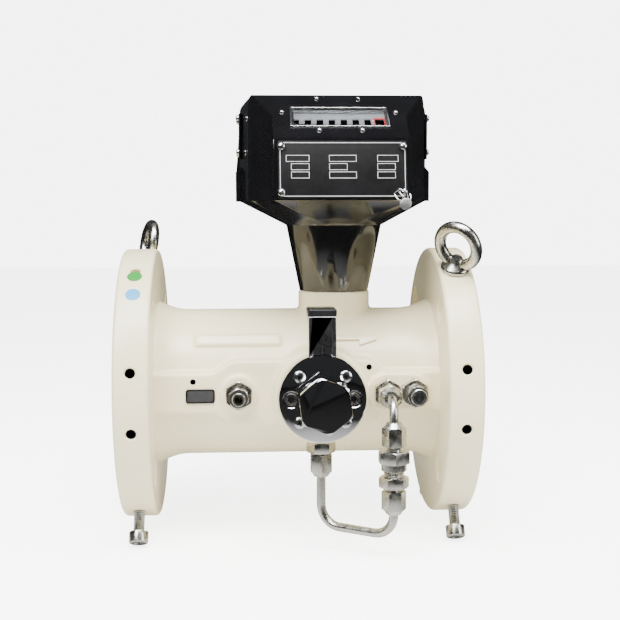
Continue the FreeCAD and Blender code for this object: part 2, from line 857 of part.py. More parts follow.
def rear_bearing_plate():
    body = cylinder(carrier_rear_bore_r - slip_gap, bearing_plate_thickness, V(bearing_plate_start, 0, 0), AX)
    seat = cylinder(bearing_outer_r + slip_gap, bearing_width, V(bearing_plate_start, 0, 0), AX)
    passage = cylinder(bearing_outer_r - bearing_shoulder, through, V(bearing_plate_start, 0, 0), AX)
    body = body.cut([seat, passage])
    vents = []
    for i in range(vent_count):
        a = 2.0 * math.pi * (i + 0.5) / vent_count
        spot = V(bearing_plate_start - over, vent_circle_r * math.cos(a), vent_circle_r * math.sin(a))
        vents.append(cylinder(vent_r, through, spot, AX))
    return body.cut(vents)


def tail_cone():
    cone = nosed_hub(carrier_end + tail_length, tail_length - tail_land, hub_r, tail_length, -AX)
    skirt_start = bearing_plate_start + bearing_plate_thickness
    skirt = tube(carrier_rear_bore_r - slip_gap, carrier_rear_bore_r - tail_skirt_wall,
                 carrier_end - skirt_start,
                 V(skirt_start, 0, 0), AX)
    duct = cylinder(gallery_r, sleeve_outer_r - duct_root_y, V(feed_port_x, -duct_root_y, 0), -AY)
    return cone.fuse(skirt).cut(duct)


def bearing_starts():
    return (carrier_start + carrier_front_wall - bearing_width, bearing_plate_start)


def ball_track(x):
    """Space of the balls' grooves in one bearing, as a ring a little thicker than the balls."""
    flat_r = bearing_ball_r + slip_gap
    corner_r = flat_r / math.cos(math.pi / track_sides)
    return ring_seal(ball_circle_r, corner_r, V(x + bearing_width / 2.0, 0, 0), AX, track_sides)


def rotor_bearings():
    """Outer rings and balls of both rotor bearings."""
    solids = []
    for x in bearing_starts():
        ring = tube(bearing_outer_r, bearing_outer_r - bearing_race, bearing_width, V(x, 0, 0), AX)
        solids.append(ring.cut(ball_track(x)))
        for i in range(bearing_balls):
            a = 2.0 * math.pi * i / bearing_balls
            centre = V(x + bearing_width / 2.0, ball_circle_r * math.cos(a), ball_circle_r * math.sin(a))
            solids.append(ball(bearing_ball_r, centre))
    return group(solids)


def bearing_inner_rings():
    solids = []
    for x in bearing_starts():
        ring = tube(shaft_r + bearing_race, shaft_r + slip_gap / 2.0, bearing_width, V(x, 0, 0), AX)
        solids.append(ring.cut(ball_track(x)))
    return group(solids)


# ---- rotor ----
def rotor_blade():
    """One twisted blade: straight lines from a section at the hub to a section at the tip."""
    tip_r = sleeve_inner_r - blade_tip_gap
    root_r = hub_r - blade_root
    mid_r = (tip_r + root_r) / 2.0
    lead = 2.0 * math.pi * mid_r / math.tan(math.radians(blade_angle))
    half_w = rotor_width / 2.0 - blade_setback
    wires = []
    for r in (root_r, tip_r):
        slope = math.atan2(2.0 * math.pi * r, lead)
        swing = half_w * math.tan(slope)
        side = blade_thickness / 2.0 / math.cos(slope)
        corners = [(-half_w, -swing - side), (half_w, swing - side), (half_w, swing + side), (-half_w,
                                                                                              -swing + side)]
        points = [V(rotor_mid + x, y, r) for x, y in corners]
        wires.append(Part.makePolygon(points + [points[0]]))
    return Part.makeLoft(wires, True, True)


def rotor_wheel():
    rim = tube(hub_r - rotor_rim_drop, hub_r - rotor_rim_drop - rotor_rim, rotor_width, V(rotor_start, 0,
                                                                                          0), AX)
    web = cylinder(hub_r - join, rotor_web, V(rotor_mid - rotor_web / 2.0, 0, 0), AX)
    boss = cylinder(rotor_boss_r, rotor_width - 2.0 * boss_setback, V(rotor_start + boss_setback, 0, 0), AX)
    blade = rotor_blade()
    blades = [turned(blade, V(0, 0, 0), AX, 360.0 * i / rotor_blades) for i in range(rotor_blades)]
    body = rim.fuse(blades)
    body = body.cut(cylinder(hub_r - rotor_rim_drop - rotor_rim, face_to_face, V(0, 0, 0), AX))
    body = body.fuse([web, boss])
    trim = cylinder(sleeve_inner_r - blade_tip_gap, face_to_face, V(0, 0, 0), AX)
    body = body.common(trim)
    cuts = [cylinder(shaft_r + slip_gap / 2.0, face_to_face, V(0, 0, 0), AX)]
    for i in range(rotor_hole_count):
        a = 2.0 * math.pi * i / rotor_hole_count
        spot = V(0, rotor_hole_circle_r * math.cos(a), rotor_hole_circle_r * math.sin(a))
        cuts.append(cylinder(rotor_hole_r, face_to_face, spot, AX))
    return body.cut(cuts)


def rotor_shaft():
    end = bearing_plate_start + bearing_width + 1.0
    body = cylinder(shaft_r, end - shaft_start, V(shaft_start, 0, 0), AX)
    thread = aimed(worm_thread(), V(tower_x, 0, 0), AX)
    collar_start = rotor_start + rotor_width - boss_setback
    collar_length = bearing_starts()[0] - collar_start
    collar = cylinder(shaft_collar_r, collar_length, V(collar_start, 0, 0), AX)
    return body.fuse([thread, collar])


# ---- vertical drive ----
def worm_wheel_phase():
    """The wheel's gap faces the worm's crest, found from where the aimed thread starts."""
    crest = FreeCAD.Rotation(AZ, AX).multVec(V(1, 0, 0))
    angle = math.atan2(crest.z, crest.y)
    shift = worm_pitch * (0.0 - angle) / (2.0 * math.pi)
    pitch_r = worm_teeth * worm_module / 2.0
    half_step = math.pi / worm_teeth
    return -math.pi / 2.0 - shift / pitch_r * -1.0 + half_step


def worm_wheel():
    wheel = worm_wheel_disc(wheel_width, drive_shaft_r + slip_gap / 2.0, worm_wheel_phase())
    wheel.translate(V(tower_x, shaft_offset, 0))
    return wheel


def vertical_shaft():
    bottom = foot_boss_top - bush_length + part_gap
    top = tower_floor + change_gear_lift + change_gear_width
    shaft = cylinder(drive_shaft_r, top - bottom, V(tower_x, shaft_offset, bottom), AZ)
    gear = prism(gear_outline(change_gear_teeth, change_gear_module, -math.pi / 2.0), V(0, 0,
                                                                                        change_gear_width))
    gear.translate(V(tower_x, shaft_offset, tower_floor + change_gear_lift))
    return shaft.fuse(gear)


def shaft_bushes():
    places = [V(tower_x, shaft_offset, foot_boss_top - bush_length), V(tower_x, 0, tower_floor - bush_length),
              V(tower_x, shaft_offset, tower_floor - bush_length)]
    return group([tube(bush_r, drive_shaft_r + run_gap, bush_length, p, AZ) for p in places])


def coupling_driver():
    bottom = tower_floor - bush_length + part_gap
    top = barrier_seat + barrier_dome_height - barrier_wall - driver_gap
    shaft = cylinder(drive_shaft_r, top - bottom, V(tower_x, 0, bottom), AZ)
    phase = mesh_phase(-math.pi / 2.0, change_gear_teeth, change_gear_teeth, -math.pi / 2.0)
    gear = prism(gear_outline(change_gear_teeth, change_gear_module, phase), V(0, 0, change_gear_width))
    gear.translate(V(tower_x, 0, tower_floor + change_gear_lift))
    disc = cylinder(magnet_r, magnet_height, V(tower_x, 0, top - magnet_height), AZ)
    notches = []
    for i in range(4):
        a = math.pi * (i + 0.5) / 2.0
        spot = V(tower_x + magnet_r * math.cos(a), magnet_r * math.sin(a), top - magnet_height)
        notches.append(cylinder(magnet_notch_r, magnet_height, spot, AZ))
    return shaft.fuse([gear, disc]).cut(notches)


def magnetic_barrier():
    dome_top = barrier_seat + barrier_dome_height
    flange = cylinder(barrier_bore_r - slip_gap, barrier_flange, V(tower_x, 0, barrier_seat), AZ)
    dome = cylinder(barrier_dome_r, barrier_dome_height, V(tower_x, 0, barrier_seat), AZ)
    inside = cylinder(barrier_dome_r - barrier_wall, barrier_dome_height - barrier_wall, V(tower_x, 0,
                                                                                           barrier_seat), AZ)
    body = flange.fuse(dome).cut(inside)
    edge = edges_at(body, "Z", dome_top)
    return body.makeChamfer(barrier_chamfer, edge)


# ---- lifting and standing ----
def eyebolt_at(x, side, ring_turn):
    out = rim_direction(lift_tap_angle, side)
    ring_height = eye_height - eye_ring_r - eye_section_r
    ring = ring_seal(eye_ring_r, eye_section_r, V(0, 0, ring_height), AX, eye_section_sides)
    collar = revolved([(0, 0), (0, eye_collar_r), (eye_collar_land, eye_collar_r), (eye_collar, eye_neck_r),
                       (eye_collar + eye_blend, eye_section_r), (eye_collar + eye_blend, 0)], V(0, 0, 0), AZ)
    shank = cylinder(tap_core_r - slip_gap, eye_shank, V(0, 0, -eye_shank), AZ)
    bolt = ring.fuse([collar, shank])
    bolt = turned(bolt, V(0, 0, 0), AZ, ring_turn)
    return aimed_radial(bolt, x, out, flange_r)


def aimed_radial(shape, x, out, radius):
    """Place a shape made along +Z so that it stands radially on the rim."""
    angle = math.degrees(math.atan2(-out.y, out.z))
    moved = shape.copy()
    moved.rotate(V(0, 0, 0), AX, angle)
    moved.translate(V(x, 0, 0) + out * radius)
    return moved


def eyebolts():
    left, right = flange_middles()
    return group([eyebolt_at(left, 1, eye_turn_left), eyebolt_at(right, -1, eye_turn_right)])


def foot_screw():
    shank = cylinder(tap_core_r - slip_gap, foot_engaged, V(0, 0, -foot_engaged), AZ)
    exposed = cylinder(tap_nominal_r - thread_allowance, foot_screw_exposed, V(0, 0, 0), AZ)
    head = cylinder(foot_head_r, foot_head, V(0, 0, foot_screw_exposed), AZ)
    top = foot_screw_exposed + foot_head
    rim = edges_at(head, "Z", top)
    head = head.makeChamfer(foot_head_chamfer, rim)
    socket = hexagon(foot_socket_flats, foot_socket_depth, V(0, 0, top - foot_socket_depth), AZ)
    return shank.fuse([exposed, head]).cut(socket)


def foot_screws():
    solids = []
    for x in flange_middles():
        for side in (-1, 1):
            out = rim_direction(180.0 - lift_tap_angle, side)
            solids.append(aimed_radial(foot_screw(), x, out, flange_r + slip_gap))
    return group(solids)


# ---- oil pump ----
def pump_point(dx, y, dz):
    return V(pump_x + dx, -y, dz)


def pump_body():
    disc = cylinder(disc_r, disc_thickness, pump_point(0, pump_seat_y, 0), -AY)
    rim = edges_at(disc, "Y", -disc_face_y)
    disc = disc.makeChamfer(disc_chamfer, rim)
    neck = cylinder(pump_neck_r, pump_neck + 1.0, pump_point(0, disc_face_y - 1.0, 0), -AY)
    spigot = cylinder(pump_spigot_r, pump_spigot + 1.0, pump_point(0, pump_seat_y + 1.0, 0), AY)
    body = disc.fuse([neck, spigot])
    cuts = [cylinder(plunger_r + run_gap, through, pump_point(0, pump_seat_y - pump_spigot + plunger_floor,
                                                              0), -AY)]
    for dx in (-1, 1):
        for dz in (-1, 1):
            cuts.append(cylinder(cross_shank_r + slip_gap, through,
                                 pump_point(dx * cross_screw_offset, pump_seat_y - over,
                                            dz * cross_screw_offset), -AY))
        spot = dx * socket_screw_offset
        cuts.append(cylinder(socket_bore_r, socket_bore_depth + 1.0,
                             pump_point(spot, disc_face_y - socket_bore_depth, 0), -AY))
        cuts.append(cylinder(cross_shank_r + slip_gap, through, pump_point(spot, pump_seat_y - over, 0), -AY))
    cuts.append(cylinder(gallery_r, pump_spigot_r + 2.0, pump_point(0, outlet_y, 0), -AZ))
    return body.cut(cuts)


def pump_cross_screws():
    solids = []
    slot = cross_slot_reach
    thin = cross_slot_half
    for dx in (-1, 1):
        for dz in (-1, 1):
            x = dx * cross_screw_offset
            z = dz * cross_screw_offset
            solid = aimed(dome_screw(cross_head_r, cross_head, cross_shank_r, disc_thickness + screw_engaged),
                          pump_point(x, disc_face_y, z), -AY)
            centre = pump_point(x, disc_face_y + cross_head - cross_slot_depth, z)
            cross = [box(centre.x - slot, centre.x + slot, centre.y - join, centre.y, centre.z - thin,
                         centre.z + thin),
                     box(centre.x - thin, centre.x + thin, centre.y - join, centre.y, centre.z - slot,
                         centre.z + slot)]
            solids.append(solid.cut(cross))
    return group(solids)


def pump_socket_screws():
    solids = []
    seat = disc_face_y - socket_bore_depth
    for dx in (-1, 1):
        x = dx * socket_screw_offset
        head = cylinder(socket_head_r, socket_head, pump_point(x, seat, 0), -AY)
        shank = cylinder(cross_shank_r, seat - pump_seat_y + screw_engaged,
                         pump_point(x, pump_seat_y - screw_engaged, 0), -AY)
        socket = hexagon(socket_key_flats, socket_key_depth + over,
                         pump_point(x, seat + socket_head - socket_key_depth, 0), -AY)
        solids.append(head.fuse(shank).cut(socket))
    return group(solids)


def pump_cap():
    """Hexagonal screw cap over the plunger."""
    back = disc_face_y + 2.0 * cap_o_ring_r
    outer = chamfered_hexagon(cap_flats, cap_length, pump_point(0, back, 0), -AY, cap_chamfer, cap_turn)
    inner = cylinder(pump_neck_r + cap_fit, cap_length - cap_wall, pump_point(0, back, 0), -AY)
    return outer.cut(inner)


def pump_cap_o_ring():
    return ring_seal(pump_neck_r + cap_o_ring_r + slip_gap, cap_o_ring_r,
                     pump_point(0, disc_face_y + cap_o_ring_r, 0), AY)


def plunger_head_y():
    return disc_face_y + pump_neck + plunger_travel + 1.0


def pump_plunger():
    rod_start = pump_seat_y - pump_spigot + plunger_floor + plunger_travel + plunger_end_gap
    rod = cylinder(plunger_r, plunger_head_y() - rod_start, pump_point(0, rod_start, 0), -AY)
    head = cylinder(plunger_head_r, plunger_head, pump_point(0, plunger_head_y(), 0), -AY)
    edge = [e for e in head.Edges if abs(e.BoundBox.YMax + plunger_head_y() + plunger_head) < 1e-3]
    return rod.fuse(head.makeChamfer(plunger_head_chamfer, edge))


def pump_spring(steps_per_turn=16, wire_sides=8):
    """Return spring between the pump neck and the plunger head."""
    start = disc_face_y + pump_neck + spring_wire_r + slip_gap
    end = plunger_head_y() - spring_wire_r - slip_gap
    coil_r = plunger_r + spring_wire_r + spring_clearance
    sections = []
    for i in range(spring_turns * steps_per_turn + 1):
        a = 2.0 * math.pi * i / steps_per_turn
        h = (end - start) * i / (spring_turns * steps_per_turn)
        points = []
        for k in range(wire_sides):
            b = 2.0 * math.pi * k / wire_sides
            r = coil_r + spring_wire_r * math.cos(b)
            points.append(V(r * math.cos(a), r * math.sin(a), h + spring_wire_r * math.sin(b)))
        sections.append(Part.makePolygon(points + [points[0]]))
    return aimed(Part.makeLoft(sections, True, True), pump_point(0, start, 0), -AY)


def oil_reservoir():
    w = reservoir_half_width
    block = box(pump_x - w, pump_x + w, -reservoir_front, -reservoir_back, reservoir_bottom,
                reservoir_top)
    upright = [e for e in block.Edges if abs(e.BoundBox.ZLength - (reservoir_top - reservoir_bottom)) < 1e-3]
    block = block.makeFillet(reservoir_edge_r, upright)
    saddle = cylinder(disc_r + slip_gap, disc_thickness + over, pump_point(0, pump_seat_y, 0), -AY)
    boss = cylinder(pump_boss_r + slip_gap, pump_seat_y - reservoir_back + over,
                    pump_point(0, reservoir_back - over, 0), -AY)
    recess = box(pump_x - glass_half_width - slip_gap, pump_x + glass_half_width + slip_gap,
                 -reservoir_front - over, -reservoir_front + glass_depth,
                 glass_bottom - slip_gap, glass_top + slip_gap)
    well = box(pump_x - w + reservoir_wall, pump_x + w - reservoir_wall,
               -reservoir_front + reservoir_front_wall,
               -reservoir_back - reservoir_wall, reservoir_floor, reservoir_top + over)
    return block.cut([saddle, boss, recess, well])


def reservoir_sight_glass():
    y1 = -reservoir_front + glass_depth
    plate = box(pump_x - glass_half_width, pump_x + glass_half_width, y1 - glass_depth + glass_inset, y1,
                glass_bottom, glass_top)
    line = box(pump_x - level_line_half, pump_x + level_line_half, y1 - glass_depth + glass_inset,
               y1 - glass_depth + glass_inset + level_line_depth, glass_bottom + over, glass_top - over)
    return plate.cut(line)


def reservoir_cap():
    w = reservoir_half_width + reservoir_cap_lip
    plate = box(pump_x - w, pump_x + w, -reservoir_front - reservoir_cap_lip,
                -reservoir_back + reservoir_cap_lip,
                reservoir_top, reservoir_top + reservoir_cap_height)
    rim = [e for e in plate.Edges if e.BoundBox.ZMin > reservoir_top + 0.1]
    return plate.makeFillet(1.0, rim)


# ---- ports and oil line ----
def stud_fitting(x, y, z, axis, nose):
    """Hexagonal stud with its thread behind the face at (x, y, z) and a neck of length nose in front."""
    face = V(x, y, z)
    hexa = chamfered_hexagon(stud_flats, stud_hex, face, axis, nut_chamfer)
    thread = cylinder(port_core_r - slip_gap, stud_thread, face, axis * -1.0)
    neck = cylinder(stud_neck_r, nose, face + axis * stud_hex, axis)
    bore = cylinder(tube_bore_r, 2.0 * through, face - axis * through, axis)
    return hexa.fuse([thread, neck]).cut(bore)


def tube_fittings():
    """Feed fitting on the front pad and outlet fitting under the pump boss."""
    feed = stud_fitting(feed_port_x, -boss_y, 0, -AY, feed_neck())
    outlet = stud_fitting(pump_x, -outlet_y, -pump_boss_r, -AZ, stud_neck - 2.0)
    return group([feed, outlet])


def feed_neck():
    return feed_nut_front - nut_length - boss_y - stud_hex


def nut_at(start, axis, turn):
    body = chamfered_hexagon(nut_flats, nut_length, start, axis, nut_chamfer, turn)
    return body.cut(cylinder(tube_r + slip_gap, nut_length, start, axis))


def pump_nut_start():
    return V(pump_x, -outlet_y, -pump_boss_r - stud_hex - stud_neck + 2.0)


def valve_end_z():
    return valve_top_z - valve_hex - valve_collar - valve_thread - valve_end_hex - valve_neck


def compression_nuts():
    upper = V(feed_port_x, -line_y, valve_top_z + stud_neck - valve_joint)
    lower = V(feed_port_x, -line_y, valve_end_z())
    feed = V(feed_port_x, -feed_nut_front + nut_length, 0)
    return group([nut_at(upper, AZ, 0.0), nut_at(lower, -AZ, 30.0), nut_at(feed, -AY, 30.0),
                  nut_at(pump_nut_start(), -AZ, 0.0)])


def swept_tube(points, radius, bend_r):
    """Round bar along straight runs joined by tangent arcs."""
    edges = []
    here = points[0]
    for i in range(1, len(points) - 1):
        a = (points[i - 1] - points[i]).normalize()
        b = (points[i + 1] - points[i]).normalize()
        half = a.getAngle(b) / 2.0
        back = bend_r / math.tan(half)
        start = points[i] + a * back
        end = points[i] + b * back
        towards = (a + b).normalize()
        middle = points[i] + towards * (bend_r / math.sin(half) - bend_r)
        edges.append(Part.LineSegment(here, start).toShape())
        edges.append(Part.Arc(start, middle, end).toShape())
        here = end
    edges.append(Part.LineSegment(here, points[-1]).toShape())
    path = Part.Wire(edges)
    direction = (points[1] - points[0]).normalize()
    circle = Part.Wire(Part.makeCircle(radius, points[0], direction))
    return path.makePipeShell([circle], True, False)


def hollow_tube(points, bend_r):
    return swept_tube(points, tube_r, bend_r).cut(swept_tube(points, tube_bore_r, bend_r))


def oil_line_tube():
    start = pump_nut_start() + V(0, 0, -nut_length + tube_grip)
    end = V(feed_port_x, -line_y, valve_end_z() - nut_length + tube_grip)
    low_start = V(start.x, start.y, line_bottom_z)
    low_end = V(end.x, end.y, line_bottom_z)
    return hollow_tube([start, low_start, low_end, end], line_bend_r)


def elbow_tube():
    start = V(feed_port_x, -feed_nut_front + tube_grip, 0)
    corner = V(feed_port_x, -line_y, 0)
    end = V(feed_port_x, -line_y, valve_top_z + stud_neck - valve_joint + nut_length - tube_grip)
    return hollow_tube([start, corner, end], elbow_bend_r)


def check_valve_body():
    place = V(feed_port_x, -line_y, valve_top_z)
    hexa = chamfered_hexagon(valve_flats, valve_hex, place, -AZ, 1.0, 0.0)
    top_neck = cylinder(stud_neck_r, stud_neck - valve_joint, place, AZ)
    z = valve_top_z - valve_hex
    collar = cylinder(valve_collar_r, valve_collar, V(place.x, place.y, z), -AZ)
    z -= valve_collar
    thread = cylinder(valve_thread_r, valve_thread, V(place.x, place.y, z), -AZ)
    z -= valve_thread
    end_hex = chamfered_hexagon(valve_end_flats, valve_end_hex, V(place.x, place.y, z), -AZ, valve_chamfer,
                                30.0)
    z -= valve_end_hex
    neck = cylinder(valve_neck_r, valve_neck, V(place.x, place.y, z), -AZ)
    body = hexa.fuse([top_neck, collar, thread, end_hex, neck])
    seat_z = ball_rest_z()
    chamber = cylinder(valve_ball_r + valve_side_gap, valve_ball_travel + 2.0 * valve_ball_r + over,
                       V(place.x, place.y, seat_z - valve_seat_depth), AZ)
    bore = cylinder(valve_seat_r, through, V(place.x, place.y, seat_z - through), AZ)
    upper = cylinder(valve_outlet_r, through, V(place.x, place.y, seat_z), AZ)
    return body.cut([chamber, bore, upper])


def ball_rest_z():
    return valve_top_z - valve_hex - valve_collar / 2.0


def check_valve_ball():
    return ball(valve_ball_r, V(feed_port_x, -line_y, ball_rest_z() + valve_ball_start))


def pressure_port_fitting():
    face = V(left_port_x, -boss_y, 0)
    body = stud_fitting(left_port_x, -boss_y, 0, -AY, stud_neck)
    nut = chamfered_hexagon(plug_flats, plug_hex, face - AY * (stud_hex + stud_neck), -AY, nut_chamfer,
                            plug_turn)
    nose = cylinder(plug_nose_r, plug_nose, face - AY * (stud_hex + stud_neck + plug_hex), -AY)
    return body.fuse([nut, nose]).cut(cylinder(plug_bore_r, through, face + AY * stud_thread, -AY))


def port_coupling():
    face = V(test_port_x, -boss_y, 0)
    body = stud_fitting(test_port_x, -boss_y, 0, -AY, stud_neck)
    sleeve = cylinder(coupling_r, coupling_length, face - AY * (stud_hex + stud_neck), -AY)
    nose = cylinder(coupling_nose_r, coupling_nose, face - AY * (stud_hex + stud_neck + coupling_length), -AY)
    body = body.fuse([sleeve, nose])
    end = stud_hex + stud_neck + coupling_length + coupling_nose
    mouth = cylinder(coupling_mouth_r, coupling_mouth_depth, face - AY * (end - coupling_mouth_depth), -AY)
    groove = tube(coupling_r, groove_root_r, groove_width,
                  face - AY * (stud_hex + stud_neck + coupling_length + groove_start), -AY)
    return body.cut([mouth, groove])


def port_coupling_o_ring():
    centre = V(test_port_x,
               -boss_y - stud_hex - stud_neck - coupling_length - groove_start - groove_width / 2.0, 0)
    return ring_seal(groove_root_r + coupling_o_ring_r + slip_gap, coupling_o_ring_r, centre, AY)


# ---- neck ----
def head_neck():
    base = V(tower_x, 0, tower_top + neck_gap)
    height = neck_top - tower_top - neck_gap
    outer = Part.makeCone(neck_bottom_r, neck_top_r, height, base, AZ)
    inner = Part.makeCone(neck_bottom_r - neck_foot_wall, neck_top_r - neck_wall, height, base, AZ)
    spigot = cylinder(barrier_bore_r - slip_gap, neck_spigot + over, V(tower_x, 0, tower_top - neck_spigot),
                      AZ)
    shelf = cylinder(neck_top_r - neck_wall, shelf_thickness,
                     V(tower_x, 0, neck_top - shelf_drop - shelf_thickness), AZ)
    body = outer.cut(inner).fuse([spigot, shelf])
    shelf_under = neck_top - shelf_drop - shelf_thickness - over
    cuts = [cylinder(neck_bottom_r - neck_foot_wall - neck_bore_step, neck_spigot + 2.0 * over,
                     V(tower_x, 0, tower_top - neck_spigot - over), AZ)]
    cuts.append(cylinder(drive_shaft_r + run_gap, through, V(tower_x, 0, shelf_under), AZ))
    for i in range(shelf_hole_count):
        a = 2.0 * math.pi * i / shelf_hole_count
        spot = V(tower_x + shelf_hole_circle_r * math.cos(a), shelf_hole_circle_r * math.sin(a), shelf_under)
        cuts.append(cylinder(shelf_hole_r, through, spot, AZ))
    return body.cut(cuts)


def plan_outline(inset, rear):
    """Half of the head seen from above, front to back, as (half width, distance in front) pairs."""
    s = inset
    return [(front_half_width - s, front_y - s), (front_half_width - s, cheek_y - s * 0.6),
            (temple_half_width - s, temple_y - s * 0.4), (side_half_width - s,
                                                          side_y), (side_half_width - s, rear)]


def closed_plan(inset, rear, z):
    right = plan_outline(inset, rear)
    left = [(-x, y) for x, y in reversed(right)]
    return [V(tower_x + x, -y, z) for x, y in right + left]


def head_block(inset, rear, bottom):
    """Outer or inner form of the casing: plan, side and front outlines cut out of each other."""
    s = inset
    plan = prism(closed_plan(s, rear, 0.0), V(0, 0, head_top + over))
    lean = math.radians(slope_angle)
    top = head_top - s
    drop = s / math.cos(lean)
    side = [(-front_y + s, bottom), (-fold_y + s, fold_z - drop + s * math.tan(lean)),
            (-brow_y + s * math.tan(lean / 2.0), top), (-rear, top), (-rear, bottom)]
    hw = side_half_width - s
    profile = prism([V(tower_x - hw - over, y, z) for y, z in side], V(2.0 * (hw + over), 0, 0))
    r = top_corner_r - s / 2.0
    front = box(tower_x - hw, tower_x + hw, -front_y - over, -rear + over, bottom, top)
    corners = [e for e in front.Edges if e.BoundBox.YLength > front_y and e.BoundBox.ZMin > top - over]
    front = front.makeFillet(r, corners)
    return plan.common(profile).common(front)


def funnel(inset, rear, low, high):
    """Transition from the round neck to the outline of the casing."""
    outline = closed_plan(inset, rear, high)
    centre = V(tower_x, 0, low)
    r = neck_top_r - inset
    angles = [math.atan2(p.y, p.x - tower_x) for p in outline]
    ring = [centre + V(r * math.cos(a), r * math.sin(a), 0) for a in angles]
    count = len(outline)
    lower = []
    for i in range(count):
        a0 = angles[i]
        a1 = angles[(i + 1) % count]
        if a1 < a0 - 1e-9:
            a1 += 2.0 * math.pi
        mid = (a0 + a1) / 2.0
        middle = centre + V(r * math.cos(mid), r * math.sin(mid), 0)
        lower.append(Part.Arc(ring[i], middle, ring[(i + 1) % count]).toShape())
    upper = [Part.LineSegment(outline[i], outline[(i + 1) % count]).toShape() for i in range(count)]
    return Part.makeLoft([Part.Wire(lower), Part.Wire(upper)], True, True)


def shoulders(y_front, y_back):
    """Wider foot of the casing behind the neck, with a sloping top edge."""
    w = shoulder_half_width
    outline = [(-w, head_bottom), (w, head_bottom), (w, shoulder_z),
               (side_half_width - 2.0, shoulder_z + shoulder_slope + 2.0),
               (-side_half_width + 2.0, shoulder_z + shoulder_slope + 2.0), (-w, shoulder_z)]
    return prism([V(tower_x + x, -y_front, z) for x, z in outline], V(0, y_front - y_back, 0))


def on_slope(shape):
    """Move a shape from slope coordinates (x, up the slope, out of the slope) to its place."""
    moved = shape.copy()
    moved.rotate(V(0, 0, 0), AX, slope_angle)
    moved.translate(V(tower_x, -fold_y, fold_z))
    return moved


def on_panel(shape):
    """Move a shape from panel coordinates (x, up the panel, out of the panel) to its place."""
    moved = shape.copy()
    moved.rotate(V(0, 0, 0), AX, panel_angle)
    moved.translate(V(tower_x, -front_y, head_bottom))
    return moved


def window_cut(depth_out, depth_in):
    w = frame_length / 2.0 - frame_border
    h = frame_height / 2.0 - frame_border
    return box(-w, w, frame_centre - h, frame_centre + h, -depth_in, depth_out)


def slope_screw_places():
    side = frame_length / 2.0 + slope_screw_side_gap
    pairs = ((slope_screw_x, slope_screw_high), (side, slope_screw_mid), (slope_screw_x, slope_screw_low))
    return [(sign * x, up) for x, up in pairs for sign in (-1, 1)]


def head_casing():
    body = head_block(0.0, split_y, head_bottom)
    body = body.fuse([funnel(0.0, split_y, neck_top, head_bottom), shoulders(side_y, split_y)])
    pad_w = plate_width / 2.0 + plate_pad_margin
    pad = box(-pad_w, pad_w, plate_centre - plate_height / 2.0 - plate_pad_below,
              plate_centre + plate_height / 2.0 + plate_pad_above, -over, plate_pad)
    body = body.fuse(on_panel(pad))
    inner = head_block(head_wall, split_y - 1.0, head_bottom - 1.0)
    throat = funnel(head_wall, split_y + head_wall, neck_top, head_bottom)
    neck_hole = cylinder(neck_top_r - head_wall, head_wall + over, V(tower_x, 0, neck_top - over), AZ)
    body = body.cut([inner, throat, neck_hole, on_slope(window_cut(over, 2.0 * head_wall))])
    return body


def cover_outline(inset):
    w = shoulder_half_width - inset
    hw = side_half_width - inset
    return [(-w, head_bottom + inset), (w, head_bottom + inset), (w, shoulder_z),
            (hw, shoulder_z + shoulder_slope), (hw, head_top - inset), (-hw, head_top - inset),
            (-hw, shoulder_z + shoulder_slope), (-w, shoulder_z)]


def cover_block(inset, y0, y1):
    body = prism([V(tower_x + x, y0, z) for x, z in cover_outline(inset)], V(0, y1 - y0, 0))
    corners = [e for e in body.Edges if e.BoundBox.YLength > 1.0 and e.BoundBox.ZLength < 0.01
               and abs(e.BoundBox.ZMax - head_top + inset) < 1e-3 and e.BoundBox.XLength < 0.01]
    return body.makeFillet(top_corner_r - inset / 2.0, corners)


def head_back_cover():
    body = cover_block(0.0, -split_y, -back_y)
    rim = edges_at(body, "Y", -back_y)
    body = body.makeFillet(back_round, rim)
    return body.cut(cover_block(head_wall, -split_y - 1.0, -back_y - head_wall))


# ---- window and counter ----
def window_frame():
    w = frame_length / 2.0
    h = frame_height / 2.0
    c = frame_centre
    flange = box(-w, w, c - h, c + h, 0.0, frame_proud)
    m = frame_border + frame_fit
    throat = box(-w + m, w - m, c - h + m, c + h - m, -frame_throat, frame_proud / 2.0)
    m += frame_wall
    opening = box(-w + m, w - m, c - h + m, c + h - m, -frame_throat - over, frame_proud + over)
    return on_slope(flange.fuse(throat).cut(opening))


def window_pane():
    margin = frame_border + frame_fit + frame_wall + slip_gap
    w = frame_length / 2.0 - margin
    h = frame_height / 2.0 - margin
    c = frame_centre
    return on_slope(box(-w, w, c - h, c + h, -pane_depth, -pane_depth + pane_thickness))


def digit_places():
    return [digit_shift - digit_span / 2.0 + digit_pitch * i for i in range(digit_count)]


def counter_mask():
    w = frame_length / 2.0 + mask_overlap_x
    h = frame_height / 2.0 + mask_overlap_y
    c = frame_centre
    plate = box(-w, w, c - h, c + h, -mask_depth - mask_thickness, -mask_depth)
    cuts = []
    for x in digit_places():
        cuts.append(box(x - aperture_width / 2.0, x + aperture_width / 2.0, c - aperture_height / 2.0,
                        c + aperture_height / 2.0, -mask_depth - mask_thickness - over, -mask_depth + over))
    return on_slope(plate.cut(cuts))


